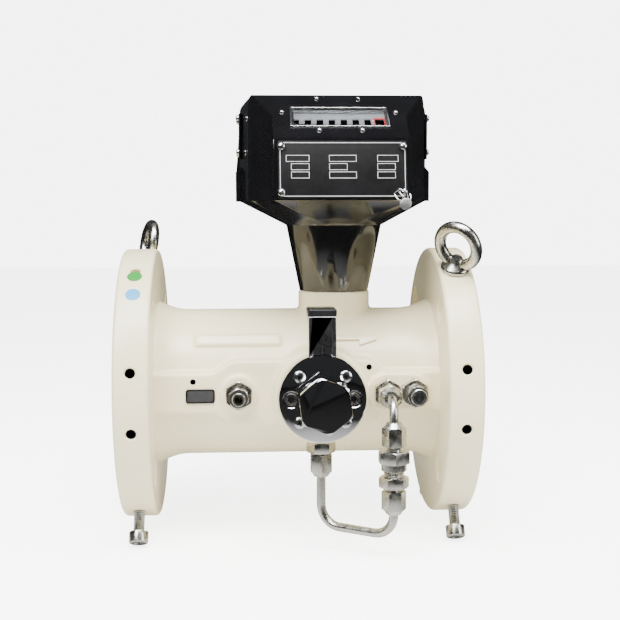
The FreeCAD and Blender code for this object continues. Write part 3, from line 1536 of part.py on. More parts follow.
def counter_frame():
    """Bracket under the window slope: screw flange, two cheeks, drum axle and pinion axle."""
    c = frame_centre
    left = digit_places()[0] - drum_width / 2.0 - cheek_gap
    right = digit_places()[-1] + drum_width / 2.0 + cheek_gap
    top_n = -mask_depth - mask_thickness - slip_gap
    low_n = -drum_depth - drum_r - cheek_plate
    parts = []
    for x in (left - cheek_plate, right):
        parts.append(box(x, x + cheek_plate, c - cheek_plate_half_height, c + cheek_plate_half_height,
                         low_n, top_n))
    parts.append(box(left - cheek_plate, right + cheek_plate, c - cheek_plate_half_height,
                     c + cheek_plate_half_height, low_n - cheek_plate, low_n))
    plate_x = train_x() - tower_x + train_width + train_end_gap
    axle = cylinder(axle_r, plate_x + 1.0 - left, V(left - 0.5, c, -drum_depth), AX)
    pinion_axle = cylinder(pinion_axle_r, right - left + 1.0, V(left - 0.5, c + pinion_offset(),
                                                                -drum_depth), AX)
    sleeve_hole = cylinder(drum_sleeve_r + slip_gap, cheek_plate, V(right, c, -drum_depth), AX)
    end_plate = box(plate_x, plate_x + cheek_plate, c - cheek_plate_half_height, c + cheek_plate_half_height,
                    low_n, top_n)
    posts = []
    for side, lift in zip((-1, 1), end_post_lifts):
        posts.append(cylinder(end_post_r, plate_x - right, V(right, c + side * end_post_offset,
                                                             -drum_depth + lift), AX))
    frame = parts[0].fuse(parts[1:]).cut(sleeve_hole).fuse([axle, pinion_axle, end_plate] + posts)
    return on_slope(frame).fuse(train_arms(plate_x)).cut(cross_shaft_holes())


def train_arms(plate_x):
    """Arm beyond the gears for the idler pin and the cross shaft, and a lug for the shaft's other end."""
    drum = drum_axis_point()
    wheel = index_wheel_place()
    a = math.degrees(train_direction()) + 180.0
    reach = 2.0 * train_distance
    arm = box(tower_x + plate_x, tower_x + plate_x + cheek_plate, 0.0, reach + train_arm_half,
              -train_arm_half, train_arm_half)
    arm = turned(arm, V(0, 0, 0), AX, a)
    arm.translate(V(0, drum.y, drum.z))
    lug = box(lug_x, lug_x + cheek_plate, lug_start, reach + train_arm_half, -train_arm_half, train_arm_half)
    lug = turned(lug, V(0, 0, 0), AX, a)
    lug.translate(V(0, drum.y, drum.z))
    pin_y = (drum.y + wheel.y) / 2.0
    pin_z = (drum.z + wheel.z) / 2.0
    pin = cylinder(axle_r, train_width + 1.0, V(train_x() - train_end_gap, pin_y, pin_z), AX)
    return [arm, lug, pin]


def cross_shaft_holes():
    wheel = index_wheel_place()
    return cylinder(drive_shaft_r + run_gap, through, V(lug_x - over, wheel.y, wheel.z), AX)


def pinion_offset():
    return drum_r + pinion_teeth * pinion_module / 2.0 + addendum * pinion_module + pinion_gap


def carry_pinions():
    solids = []
    places = digit_places()
    for i in range(digit_count - 1):
        x = (places[i] + places[i + 1]) / 2.0
        gear = spur_gear(pinion_teeth, pinion_module, pinion_width, pinion_axle_r + slip_gap)
        gear = aimed(gear, V(x - pinion_width / 2.0, frame_centre + pinion_offset(), -drum_depth), AX)
        solids.append(on_slope(gear))
    return group(solids)


def number_drum(index):
    """Number drum on the counter axle; the last one carries the gear that drives the counter."""
    x = digit_places()[index]
    centre = V(x - drum_width / 2.0, frame_centre, -drum_depth)
    body = cylinder(drum_r, drum_width, centre, AX)
    hub = cylinder(drum_hub_r, drum_width + drum_hub_width, centre, AX)
    pocket = tube(drum_r - drum_rim, drum_hub_r, drum_width - drum_web, centre + AX * drum_web, AX)
    body = body.cut(pocket).fuse(hub)
    return on_slope(body.cut(cylinder(drum_bore_r, through, centre - AX * over, AX)))


def drum_axis_point():
    """Centre of the counter axle in the part's frame."""
    point = Part.Vertex(V(0, frame_centre, -drum_depth))
    return on_slope(point).Point


def train_x():
    return tower_x + digit_places()[-1] + drum_width / 2.0 + cheek_gap + cheek_plate + train_gap


def index_wheel_place():
    drum = drum_axis_point()
    dy = -shaft_offset - drum.y
    dz = math.sqrt((2.0 * train_distance) ** 2 - dy ** 2)
    return V(tower_x, -shaft_offset, drum.z - dz)


def train_direction():
    """Direction from the index wheel shaft to the counter axle, as an angle from +Y to +Z."""
    drum = drum_axis_point()
    wheel = index_wheel_place()
    return math.atan2(drum.z - wheel.z, drum.y - wheel.y)


def cross_gear(teeth, width, bore_radius, phase, place):
    """Spur gear on an axis along X; phase is measured from +Y towards +Z."""
    gear = spur_gear(teeth, train_module, width, bore_radius, phase)
    gear.rotate(V(0, 0, 0), AZ, 90)
    gear.rotate(V(0, 0, 0), AY, 90)
    gear.translate(place)
    return gear


def coupling_follower():
    bottom = barrier_seat + barrier_dome_height + follower_gap
    disc = cylinder(magnet_r, magnet_height, V(tower_x, 0, bottom), AZ)
    notches = [cylinder(drive_shaft_r + slip_gap / 2.0, through, V(tower_x, 0, bottom + follower_floor), AZ)]
    for i in range(4):
        a = math.pi * (i + 0.5) / 2.0
        spot = V(tower_x + magnet_r * math.cos(a), magnet_r * math.sin(a), bottom)
        notches.append(cylinder(magnet_notch_r, magnet_height, spot, AZ))
    return disc.cut(notches)


def index_shaft():
    bottom = barrier_seat + barrier_dome_height + follower_gap + follower_floor + follower_shaft_gap
    wheel_z = index_wheel_place().z
    top = wheel_z + worm_pitch * (worm_turns / 2.0 + 1.0)
    body = cylinder(drive_shaft_r, top - bottom, V(tower_x, 0, bottom), AZ)
    core_length = worm_pitch * (worm_turns + worm_core_spare)
    core = cylinder(shaft_r, core_length, V(tower_x, 0, wheel_z - core_length / 2.0), AZ)
    thread = worm_thread()
    thread.translate(V(tower_x, 0, wheel_z))
    collar = cylinder(drive_shaft_r + shelf_collar, shelf_collar, V(tower_x, 0,
                                                                    neck_top - shelf_drop + run_gap), AZ)
    return body.fuse([core, thread, collar])


def index_wheel():
    """Cross shaft with the worm wheel in the middle and the first train gear at its end."""
    place = index_wheel_place()
    half_step = math.pi / worm_teeth
    wheel = worm_wheel_disc(wheel_width, drive_shaft_r - 0.5, index_wheel_phase() + half_step)
    wheel.rotate(V(0, 0, 0), AZ, 90)
    wheel.rotate(V(0, 0, 0), AY, 90)
    wheel.translate(place)
    end = train_x() + train_width + train_end_gap + cheek_plate - pin_setback
    shaft = cylinder(drive_shaft_r, end - lug_x, V(lug_x, place.y, place.z), AX)
    gear = cross_gear(train_teeth, train_width, drive_shaft_r - 0.5, train_direction(),
                      V(train_x(), place.y, place.z))
    return shaft.fuse([wheel, gear])


def index_wheel_phase():
    """Angle of the gap that takes the worm's crest on the wheel's back side, at rest."""
    return -worm_pitch / 4.0 / (worm_teeth * worm_module / 2.0)


def idler_gear():
    place = index_wheel_place()
    a = train_direction()
    phase = mesh_phase(a, train_teeth, idler_teeth, a)
    centre = V(train_x(), place.y + train_distance * math.cos(a), place.z + train_distance * math.sin(a))
    return cross_gear(idler_teeth, train_width, axle_r + run_gap, phase, centre)


def drive_drum(index):
    """Fastest number drum, with its drive gear outside the cheek."""
    a = train_direction()
    idler_phase = mesh_phase(a, train_teeth, idler_teeth, a)
    phase = mesh_phase(idler_phase, idler_teeth, train_teeth, a)
    drum = drum_axis_point()
    gear = cross_gear(train_teeth, train_width, drum_bore_r, phase, V(train_x(), drum.y, drum.z))
    x0 = tower_x + digit_places()[index] + drum_width / 2.0
    sleeve = tube(drum_sleeve_r, drum_bore_r, train_x() + train_width - x0, V(x0, drum.y, drum.z), AX)
    return number_drum(index).fuse([sleeve, gear])


def nameplate():
    w = plate_width / 2.0
    h = plate_height / 2.0
    z0 = plate_pad
    plate = box(-w, w, plate_centre - h, plate_centre + h, z0, z0 + plate_thickness)
    corners = [e for e in plate.Edges if e.BoundBox.ZLength > 0.5]
    plate = plate.makeFillet(plate_corner_r, corners)
    holes = []
    for dx in (-1, 1):
        for dy in (-1, 1):
            spot = V(dx * plate_screw_x, plate_centre + dy * plate_screw_z, -over)
            holes.append(cylinder(head_screw_r + slip_gap, through, spot, AZ))
    return on_panel(plate.cut(holes))


def dome_screw(head_r, head_height, shank_r, length):
    """Screw with a domed head standing on height 0 and its shank below."""
    return revolved([(-length, 0), (-length, shank_r), (0, shank_r), (0, head_r), (head_height * 0.4, head_r),
                     (head_height * 0.8, head_r * 0.75), (head_height, head_r * 0.35), (head_height, 0)],
                    V(0, 0, 0), AZ)


def nameplate_screws():
    solids = []
    for dx in (-1, 1):
        for dy in (-1, 1):
            screw = dome_screw(plate_screw_head_r, plate_screw_head, head_screw_r, plate_thickness)
            screw.translate(V(dx * plate_screw_x, plate_centre + dy * plate_screw_z,
                              plate_pad + plate_thickness))
            solids.append(on_panel(screw))
    return group(solids)


def head_screws():
    """Small pan-head screws on the slope, the temples, the sides and the back cover."""
    solids = []
    for x, u in slope_screw_places():
        screw = dome_screw(head_screw_head_r, head_screw_head, head_screw_r, 0.0)
        screw.translate(V(x, u, 0.0))
        solids.append(on_slope(screw))
    return group(solids)


def build():
    os.makedirs("parts", exist_ok=True)
    save("meter_housing", housing())
    save("insert_sleeve", insert_sleeve())
    save("retaining_ring", retaining_ring())
    save("flow_straightener", flow_straightener())
    save("bearing_carrier", bearing_carrier())
    save("rear_bearing_plate", rear_bearing_plate())
    save("tail_cone", tail_cone())
    save("rotor_bearings", rotor_bearings())
    save("bearing_inner_rings", bearing_inner_rings())
    save("rotor_wheel", rotor_wheel())
    save("rotor_shaft", rotor_shaft())
    save("worm_wheel", worm_wheel())
    save("vertical_shaft", vertical_shaft())
    save("shaft_bushes", shaft_bushes())
    save("coupling_driver", coupling_driver())
    save("magnetic_barrier", magnetic_barrier())
    save("eyebolts", eyebolts())
    save("foot_screws", foot_screws())
    save("pump_body", pump_body())
    save("pump_cross_screws", pump_cross_screws())
    save("pump_socket_screws", pump_socket_screws())
    save("pump_cap", pump_cap())
    save("pump_cap_o_ring", pump_cap_o_ring())
    save("pump_plunger", pump_plunger())
    save("pump_spring", pump_spring())
    save("oil_reservoir", oil_reservoir())
    save("reservoir_sight_glass", reservoir_sight_glass())
    save("reservoir_cap", reservoir_cap())
    save("tube_fittings", tube_fittings())
    save("compression_nuts", compression_nuts())
    save("oil_line_tube", oil_line_tube())
    save("elbow_tube", elbow_tube())
    save("check_valve_body", check_valve_body())
    save("check_valve_ball", check_valve_ball())
    save("pressure_port_fitting", pressure_port_fitting())
    save("port_coupling", port_coupling())
    save("port_coupling_o_ring", port_coupling_o_ring())
    save("head_neck", head_neck())
    save("head_casing", head_casing())
    save("head_back_cover", head_back_cover())
    save("window_frame", window_frame())
    save("window_pane", window_pane())
    save("counter_mask", counter_mask())
    save("counter_frame", counter_frame())
    save("carry_pinions", carry_pinions())
    for i in range(digit_count - 1):
        save("number_drum_" + str(i + 1), number_drum(i))
    save("number_drum_" + str(digit_count), drive_drum(digit_count - 1))
    save("coupling_follower", coupling_follower())
    save("index_shaft", index_shaft())
    save("index_wheel", index_wheel())
    save("idler_gear", idler_gear())
    save("nameplate", nameplate())
    save("nameplate_screws", nameplate_screws())
    save("head_screws", head_screws())


build()
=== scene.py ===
"""Surfaces, fine pieces and studio for a flanged turbine gas meter."""

import json
import math

import bpy
from mathutils import Matrix, Vector


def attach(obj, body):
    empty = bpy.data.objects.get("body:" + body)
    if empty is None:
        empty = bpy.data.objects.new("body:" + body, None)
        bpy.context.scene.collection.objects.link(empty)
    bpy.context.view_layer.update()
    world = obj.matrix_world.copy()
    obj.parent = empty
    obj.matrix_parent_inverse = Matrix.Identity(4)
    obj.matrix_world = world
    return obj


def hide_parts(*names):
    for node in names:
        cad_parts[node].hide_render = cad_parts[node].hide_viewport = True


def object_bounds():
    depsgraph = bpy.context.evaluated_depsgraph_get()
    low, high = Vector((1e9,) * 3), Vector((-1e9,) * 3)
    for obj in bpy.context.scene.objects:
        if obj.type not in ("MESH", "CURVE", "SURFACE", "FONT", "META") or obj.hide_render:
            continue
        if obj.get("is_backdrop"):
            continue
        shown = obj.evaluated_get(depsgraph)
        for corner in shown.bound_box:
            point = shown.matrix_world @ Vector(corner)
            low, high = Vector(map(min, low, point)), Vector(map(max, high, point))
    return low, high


bl_info = {
    "name": "Turbine Gas Meter",
    "version": (1, 0, 0),
    "blender": (4, 5, 0),
    "location": "View3D > Sidebar > Gas Meter",
    "description": "Builds the visible pieces and finishes of a flanged turbine gas meter",
    "category": "Object",
}

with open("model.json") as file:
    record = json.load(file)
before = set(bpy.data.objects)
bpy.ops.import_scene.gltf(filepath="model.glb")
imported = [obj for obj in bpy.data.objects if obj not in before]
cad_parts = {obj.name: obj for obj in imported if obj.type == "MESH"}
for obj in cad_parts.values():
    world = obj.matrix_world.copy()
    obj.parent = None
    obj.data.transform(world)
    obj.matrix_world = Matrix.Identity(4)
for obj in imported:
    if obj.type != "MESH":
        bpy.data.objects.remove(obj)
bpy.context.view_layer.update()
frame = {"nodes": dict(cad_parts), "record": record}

MM = 0.001
X = Vector((1, 0, 0))
Y = Vector((0, 1, 0))
Z = Vector((0, 0, 1))

# places of the index head, in millimetres
HEAD_X = 148.8
HEAD_LOW = 129.0
HEAD_TOP = 201.0
PANEL_Y = -78.3
SLOPE_Y = -72.0
SLOPE_Z = 168.0
SLOPE_RISE = 33.0 / 43.0
SLOPE = math.atan2(33.0, 43.0)
HEAD_HALF = 67.0
FRONT_HALF = 44.6
WINDOW_MIDDLE = 26.7
NUMBER_LEAN = 12.0
# blind holes in the side pad, and ports along the pipe
PAD_HOLES = ((49.7, 8.2), (168.2, 17.0))
LEFT_PORT = 80.4
FEED_PORT = 180.0
RIGHT_PORT = 198.6
# smallest gap left between points of a welded inner piece, in metres
WELD = 0.00002


# ---- sizes and colours ----
def length(name, text, metres):
    return bpy.props.FloatProperty(name=name, description=text, default=metres, unit="LENGTH", min=0.0)


def colour(name, text, rgb):
    return bpy.props.FloatVectorProperty(name=name, description=text, default=rgb, subtype="COLOR", size=3,
                                         min=0.0, max=1.0)


class MeterHousingSizes(bpy.types.PropertyGroup):
    """Sizes of the cast housing and its flanges"""

    face_to_face: length("Face to face", "Length between the flange faces", 0.240)
    flange_diameter: length("Flange diameter", "Outside diameter of both flanges", 0.1905)
    flange_thickness: length("Flange thickness", "Thickness of each flange", 0.0234)
    bolt_circle: length("Bolt circle", "Diameter of the bolt circle", 0.1524)
    bolt_hole: length("Bolt hole", "Diameter of a bolt hole", 0.019)
    barrel_diameter: length("Barrel diameter", "Outside diameter of the barrel", 0.104)
    bore: length("Bore", "Diameter of the bored inside", 0.084)
    pad_distance: length("Pad distance", "Distance of the flat side pad from the pipe axis", 0.058)
    boss_distance: length("Boss distance", "Distance of the port bosses from the pipe axis", 0.0605)
    tower_x: length("Tower position", "Distance of the tower from the inlet face", 0.1488)
    tower_diameter: length("Tower diameter", "Diameter of the tower", 0.051)
    tower_top: length("Tower top", "Height of the tower's top over the pipe axis", 0.0654)
    casting_grain: length("Casting detail", "Smallest form kept on the cast skin", 0.0011)


class MeterPumpSizes(bpy.types.PropertyGroup):
    """Sizes of the oil pump and its pipework"""

    pump_x: length("Pump position", "Distance of the pump axis from the inlet face", 0.135)
    boss_diameter: length("Pump boss", "Diameter of the cast pump boss", 0.063)
    seat_distance: length("Pump seat", "Distance of the pump seat from the pipe axis", 0.076)
    disc_diameter: length("Pump disc", "Diameter of the pump disc", 0.0576)
    disc_thickness: length("Disc thickness", "Thickness of the pump disc", 0.009)
    cap_flats: length("Cap width", "Width across flats of the pump cap", 0.032)
    cap_length: length("Cap length", "Length of the pump cap", 0.026)
    tube_diameter: length("Tube diameter", "Outside diameter of the oil tube", 0.006)
    nut_flats: length("Nut width", "Width across flats of a tube nut", 0.014)
    nut_length: length("Nut length", "Length of a tube nut", 0.0154)


class MeterHeadSizes(bpy.types.PropertyGroup):
    """Sizes of the index head"""

    wall: length("Wall", "Wall thickness of the head", 0.003)
    drum_pitch: length("Drum pitch", "Distance between number drums", 0.0078)
    drum_first: length("First drum", "Place of the first number drum from the head's middle", -0.028)


class MeterFinishColours(bpy.types.PropertyGroup):
    """Colours of the meter's finishes"""

    cream: colour("Housing paint", "Cream paint of the housing", (0.83, 0.745, 0.49))
    black: colour("Head paint", "Black paint of the index head", (0.0025, 0.0025, 0.003))
    plate: colour("Nameplate", "Face of the bare nameplate", (0.003, 0.003, 0.0035))
    line: colour("Plate lines", "Printed lines on the nameplate", (0.62, 0.62, 0.60))
    zinc: colour("Zinc plate", "Zinc plated steel", (0.52, 0.515, 0.48))
    chrome: colour("Chrome", "Chrome plate of the pump", (0.62, 0.62, 0.63))
    green: colour("Green dot", "Round green sticker", (0.02, 0.24, 0.03))
    blue: colour("Blue dot", "Round blue sticker", (0.02, 0.30, 0.62))


# ---- bench tools ----
def bench():
    """Leave edit mode and clear the selection."""
    if bpy.context.object and bpy.context.object.mode != "OBJECT":
        bpy.ops.object.mode_set(mode="OBJECT")
    bpy.ops.object.select_all(action="DESELECT")


def pick(obj):
    bench()
    obj.select_set(True)
    bpy.context.view_layer.objects.active = obj
    return obj


def settle(obj):
    """Put the piece's place, turn and size into its mesh."""
    pick(obj)
    bpy.ops.object.transform_apply(location=True, rotation=True, scale=True)
    return obj


def called(name):
    obj = bpy.context.object
    obj.name = name
    obj.data.name = name
    return obj


def towards(axis):
    return Z.rotation_difference(Vector(axis)).to_matrix().to_4x4()


def at(place):
    """Matrix that moves a piece to a place in millimetres."""
    return Matrix.Translation(Vector(place) * MM)


def roll(degrees, axis="X"):
    return Matrix.Rotation(math.radians(degrees), 4, axis)


def put(obj, base, axis=Z, turn=0.0):
    """Stand a piece made along Z at base, pointing along axis, turned by some degrees."""
    obj.matrix_world = at(base) @ towards(axis) @ roll(turn, "Z")
    return settle(obj)


def block(name, low, high):
    bench()
    size = [(h - l) * MM for l, h in zip(low, high)]
    middle = [(h + l) * MM / 2 for l, h in zip(low, high)]
    bpy.ops.mesh.primitive_cube_add(size=1, location=middle)
    obj = called(name)
    obj.scale = size
    return settle(obj)


def rod(name, radius, reach, base, axis=Z, sides=64):
    bench()
    bpy.ops.mesh.primitive_cylinder_add(vertices=sides, radius=radius * MM, depth=reach * MM,
                                        location=(0, 0, reach * MM / 2))
    return put(settle(called(name)), base, axis)


def turned(name, profile, base=(0, 0, 0), axis=Z, sides=64, hollow=False):
    """Lathe work: rings extruded along Z through (distance, radius) pairs."""
    bench()
    place, radius = profile[0]
    bpy.ops.mesh.primitive_circle_add(vertices=sides, radius=radius * MM, location=(0, 0, 0))
    obj = called(name)
    bpy.ops.object.mode_set(mode="EDIT")
    bpy.ops.mesh.select_all(action="SELECT")
    bpy.ops.transform.translate(value=(0, 0, place * MM))
    for next_place, next_radius in profile[1:]:
        bpy.ops.mesh.extrude_region_move(TRANSFORM_OT_translate={"value": (0, 0, (next_place - place) * MM)})
        k = next_radius / radius
        bpy.ops.transform.resize(value=(k, k, 1), center_override=(0, 0, next_place * MM))
        place, radius = next_place, next_radius
    if hollow:
        bpy.ops.mesh.select_all(action="DESELECT")
        bpy.ops.mesh.select_non_manifold()
        bpy.ops.mesh.bridge_edge_loops()
    else:
        bpy.ops.mesh.select_all(action="SELECT")
        bpy.ops.mesh.fill_holes(sides=0)
    bpy.ops.mesh.select_all(action="SELECT")
    bpy.ops.mesh.normals_make_consistent(inside=False)
    bpy.ops.object.mode_set(mode="OBJECT")
    return put(obj, base, axis)


def joined(name, objs):
    bench()
    for o in objs:
        o.select_set(True)
    bpy.context.view_layer.objects.active = objs[0]
    if len(objs) > 1:
        bpy.ops.object.join()
    return called(name)


def wrapped(name, objs):
    """The tight skin round several primitives."""
    obj = joined(name, objs)
    bpy.ops.object.mode_set(mode="EDIT")
    bpy.ops.mesh.select_all(action="SELECT")
    bpy.ops.mesh.convex_hull(join_triangles=True)
    bpy.ops.mesh.select_all(action="SELECT")
    bpy.ops.mesh.dissolve_limited(angle_limit=math.radians(0.1))
    bpy.ops.mesh.normals_make_consistent(inside=False)
    bpy.ops.object.mode_set(mode="OBJECT")
    return obj


def carved(obj, tool, operation="DIFFERENCE", tangled=False):
    """Cut, keep or add tool; tangled is for a piece joined from overlapping forms."""
    mod = obj.modifiers.new("carve", "BOOLEAN")
    mod.use_self = tangled
    mod.operation = operation
    mod.solver = "EXACT"
    mod.object = tool
    pick(obj)
    bpy.ops.object.modifier_apply(modifier=mod.name)
    bpy.data.objects.remove(tool)
    return obj


def rounded(obj, width, segments=2, limit=40.0):
    mod = obj.modifiers.new("round", "BEVEL")
    mod.width = width * MM
    mod.segments = segments
    mod.limit_method = "ANGLE"
    mod.angle_limit = math.radians(limit)
    mod.use_clamp_overlap = True
    pick(obj)
    bpy.ops.object.modifier_apply(modifier=mod.name)
    return obj


def soft(obj, degrees=35.0):
    pick(obj)
    bpy.ops.object.shade_smooth_by_angle(angle=math.radians(degrees))
    return obj


def again(obj, name):
    """A copy with its own mesh."""
    bench()
    other = obj.copy()
    other.data = obj.data.copy()
    other.name = name
    other.data.name = name
    bpy.context.scene.collection.objects.link(other)
    return other


def moved(obj, matrix):
    obj.matrix_world = matrix @ obj.matrix_world
    return settle(obj)


def finished(obj, body, slot, nodes=(), smooth=35.0, shade=None):
    """Shade the piece, give it its finish and let it move with its body."""
    if smooth:
        soft(obj, smooth)
    obj.data.materials.clear()
    obj.data.materials.append(finishes[shade or slot])
    for face in obj.data.polygons:
        face.material_index = 0
    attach(obj, body)
    if nodes:
        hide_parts(*nodes)
    return obj


def hexed(name, flats, reach, base, axis, chamfer=0.8, turn=0.0, edge=0.25):
    """Hexagonal bar with turned corners; one flat faces X when turn is 0."""
    corner = flats / math.sqrt(3)
    bar = turned(name, [(0, corner), (reach, corner)], sides=6)
    far = corner * 1.2
    run = (far - corner + chamfer) * 0.6
    cone = [(0, corner - chamfer), (run, far), (reach - run, far), (reach, corner - chamfer)]
    carved(bar, turned("corner_lathe", cone, sides=48), "INTERSECT")
    rounded(bar, edge, 2, 25.0)
    return put(bar, base, axis, turn)


def threaded(name, radius, pitch, reach, base, axis, sides=40):
    """Stud with thread crests along its length."""
    profile = []
    crests = int(reach / pitch)
    depth = pitch * 0.5
    for i in range(crests):
        profile.append((i * pitch, radius - depth))
        profile.append((i * pitch + pitch * 0.5, radius))
    profile.append((reach, radius - depth))
    return turned(name, profile, base, axis, sides)


def ring(name, major, minor, centre, axis, segments=64, rounds=20):
    bench()
    bpy.ops.mesh.primitive_torus_add(major_radius=major * MM, minor_radius=minor * MM,
                                     major_segments=segments, minor_segments=rounds)
    return put(settle(called(name)), centre, axis)


def piped(name, points, radius, bend):
    """Round bar along straight runs with tangent bends, in millimetres."""
    bench()
    pts = [Vector(p) * MM for p in points]
    path = [pts[0]]
    for before, corner, after in zip(pts, pts[1:], pts[2:]):
        a = (before - corner).normalized()
        b = (after - corner).normalized()
        half = a.angle(b) / 2
        back = bend * MM / math.tan(half)
        centre = corner + (a + b).normalized() * (bend * MM / math.sin(half))
        start = corner + a * back - centre
        end = corner + b * back - centre
        sweep = start.angle(end)
        turn_axis = start.cross(end).normalized()
        steps = max(6, int(math.degrees(sweep) / 6))
        for i in range(steps + 1):
            path.append(centre + Matrix.Rotation(sweep * i / steps, 3, turn_axis) @ start)
    path.append(pts[-1])
    curve = bpy.data.curves.new(name, "CURVE")
    curve.dimensions = "3D"
    curve.bevel_depth = radius * MM
    curve.bevel_resolution = 5
    curve.use_fill_caps = True
    spline = curve.splines.new("POLY")
    spline.points.add(len(path) - 1)
    for point, co in zip(spline.points, path):
        point.co = (*co, 1)
    obj = bpy.data.objects.new(name, curve)
    bpy.context.scene.collection.objects.link(obj)
    pick(obj)
    bpy.ops.object.convert(target="MESH")
    return settle(bpy.context.object)


def refined(name, node, body, slot, smooth=32.0):
    """Welded, smooth-shaded copy of an inner piece."""
    obj = again(frame["nodes"][node], name)
    for key in list(obj.keys()):
        del obj[key]
    world = obj.matrix_world.copy()
    obj.parent = None
    obj.matrix_world = world
    pick(obj)
    bpy.ops.object.mode_set(mode="EDIT")
    bpy.ops.mesh.select_all(action="SELECT")
    bpy.ops.mesh.remove_doubles(threshold=WELD)
    bpy.ops.object.mode_set(mode="OBJECT")
    return finished(settle(obj), body, slot, [node], smooth)


# ---- finishes ----
finishes = {}


def node_of(tree, kind, operation=None, **values):
    """A shader node with its inputs set; an underscore stands for the space in an input's name."""
    node = tree.nodes.new("ShaderNode" + kind)
    if operation:
        node.operation = operation
    for title, value in values.items():
        node.inputs[title.replace("_", " ")].default_value = value
    return node


def mixed(tree, **colours):
    node = node_of(tree, "Mix")
    node.data_type = "RGBA"
    for title, rgb in colours.items():
        node.inputs[title].default_value = (*rgb, 1)
    return node


def wire(tree, *links):
    """Links, each as a node, its output, the next node and that node's input."""
    for source, output, target, entry in links:
        tree.links.new(source.outputs[output], target.inputs[entry])


def group_of(name, output, inputs):
    """Node group with a place and the given inputs, and one number as its output."""
    tree = bpy.data.node_groups.new(name, "ShaderNodeTree")
    tree.interface.new_socket("Vector", in_out="INPUT", socket_type="NodeSocketVector")
    for title, value in inputs:
        kind = "NodeSocketVector" if isinstance(value, tuple) else "NodeSocketFloat"
        tree.interface.new_socket(title, in_out="INPUT", socket_type=kind).default_value = value
    tree.interface.new_socket(output, in_out="OUTPUT", socket_type="NodeSocketFloat")
    return tree, tree.nodes.new("NodeGroupInput"), tree.nodes.new("NodeGroupOutput")


def patch_group():
    """Broad uneven patches, as on paint and plating."""
    tree, given, out = group_of("Patches", "Mask", [("Scale", 60.0), ("Low", 0.35), ("High", 0.65)])
    noise = node_of(tree, "TexNoise", Detail=4.0)
    ramp = node_of(tree, "MapRange")
    wire(tree, (given, "Vector", noise, "Vector"), (given, "Scale", noise, "Scale"),
         (noise, "Fac", ramp, "Value"),
         (given, "Low", ramp, "From Min"), (given, "High", ramp, "From Max"), (ramp, "Result", out, "Mask"))


def grain_group():
    """Fine grain, drawn out along one direction where Stretch is uneven."""
    tree, given, out = group_of("Grain", "Height", [("Stretch", (1, 1, 1)), ("Scale", 900.0)])
    scale = node_of(tree, "VectorMath", "MULTIPLY")
    noise = node_of(tree, "TexNoise", Detail=3.0)
    wire(tree, (given, "Vector", scale, 0), (given, "Stretch", scale, 1), (scale, "Vector", noise, "Vector"),
         (given, "Scale", noise, "Scale"), (noise, "Fac", out, "Height"))


def wear_group():
    """Worn or brightened edges, broken up by noise."""
    tree, given, out = group_of("Edge wear", "Mask", [("Scale", 300.0), ("Amount", 0.5)])
    geometry = node_of(tree, "NewGeometry")
    edge = node_of(tree, "MapRange", From_Min=0.52, From_Max=0.62)
    noise = node_of(tree, "TexNoise")
    broken = node_of(tree, "Math", "MULTIPLY")
    amount = node_of(tree, "Math", "MULTIPLY")
    wire(tree, (geometry, "Pointiness", edge, "Value"), (given, "Vector", noise, "Vector"),
         (given, "Scale", noise, "Scale"), (edge, "Result", broken, 0), (noise, "Fac", broken, 1),
         (broken, "Value", amount, 0), (given, "Amount", amount, 1), (amount, "Value", out, "Mask"))


def finish(slot, name, base, second, roughness, metallic=0.0, patch=60.0, grain=900.0, stretch=(1, 1, 1),
           bump=0.1,
           depth=0.0001, wear=0.0, edge=(0.9, 0.9, 0.9), coat=0.0, coat_roughness=0.05, specular=0.5):
    """A finish with uneven colour and sheen, fine grain and edge wear."""
    mat = bpy.data.materials.new(name)
    mat.use_nodes = True
    tree = mat.node_tree
    shader = tree.nodes["Principled BSDF"]
    where = node_of(tree, "TexCoord")

    def grouped(group, **values):
        node = tree.nodes.new("ShaderNodeGroup")
        node.node_tree = bpy.data.node_groups[group]
        wire(tree, (where, "Object", node, "Vector"))
        for title, value in values.items():
            node.inputs[title].default_value = value
        return node

    patches = grouped("Patches", Scale=patch)
    tint = mixed(tree, A=base, B=second)
    worn = grouped("Edge wear", Amount=wear)
    edged = mixed(tree, B=edge)
    sheen = node_of(tree, "MapRange", To_Min=roughness[0], To_Max=roughness[1])
    fine = grouped("Grain", Stretch=stretch, Scale=grain)
    relief = node_of(tree, "Bump", Strength=bump, Distance=depth)
    wire(tree, (patches, "Mask", tint, "Factor"), (worn, "Mask", edged, "Factor"), (tint, "Result", edged, "A"),
         (edged, "Result", shader, "Base Color"), (patches, "Mask", sheen, "Value"),
         (sheen, "Result", shader, "Roughness"), (fine, "Height", relief, "Height"),
         (relief, "Normal", shader, "Normal"))
    for title, value in (("Metallic", metallic), ("Coat Weight", coat), ("Coat Roughness", coat_roughness),
                         ("Specular IOR Level", specular)):
        shader.inputs[title].default_value = value
    finishes[slot] = mat
    return shader


def toned(rgb, strength):
    return tuple(v * strength for v in rgb)


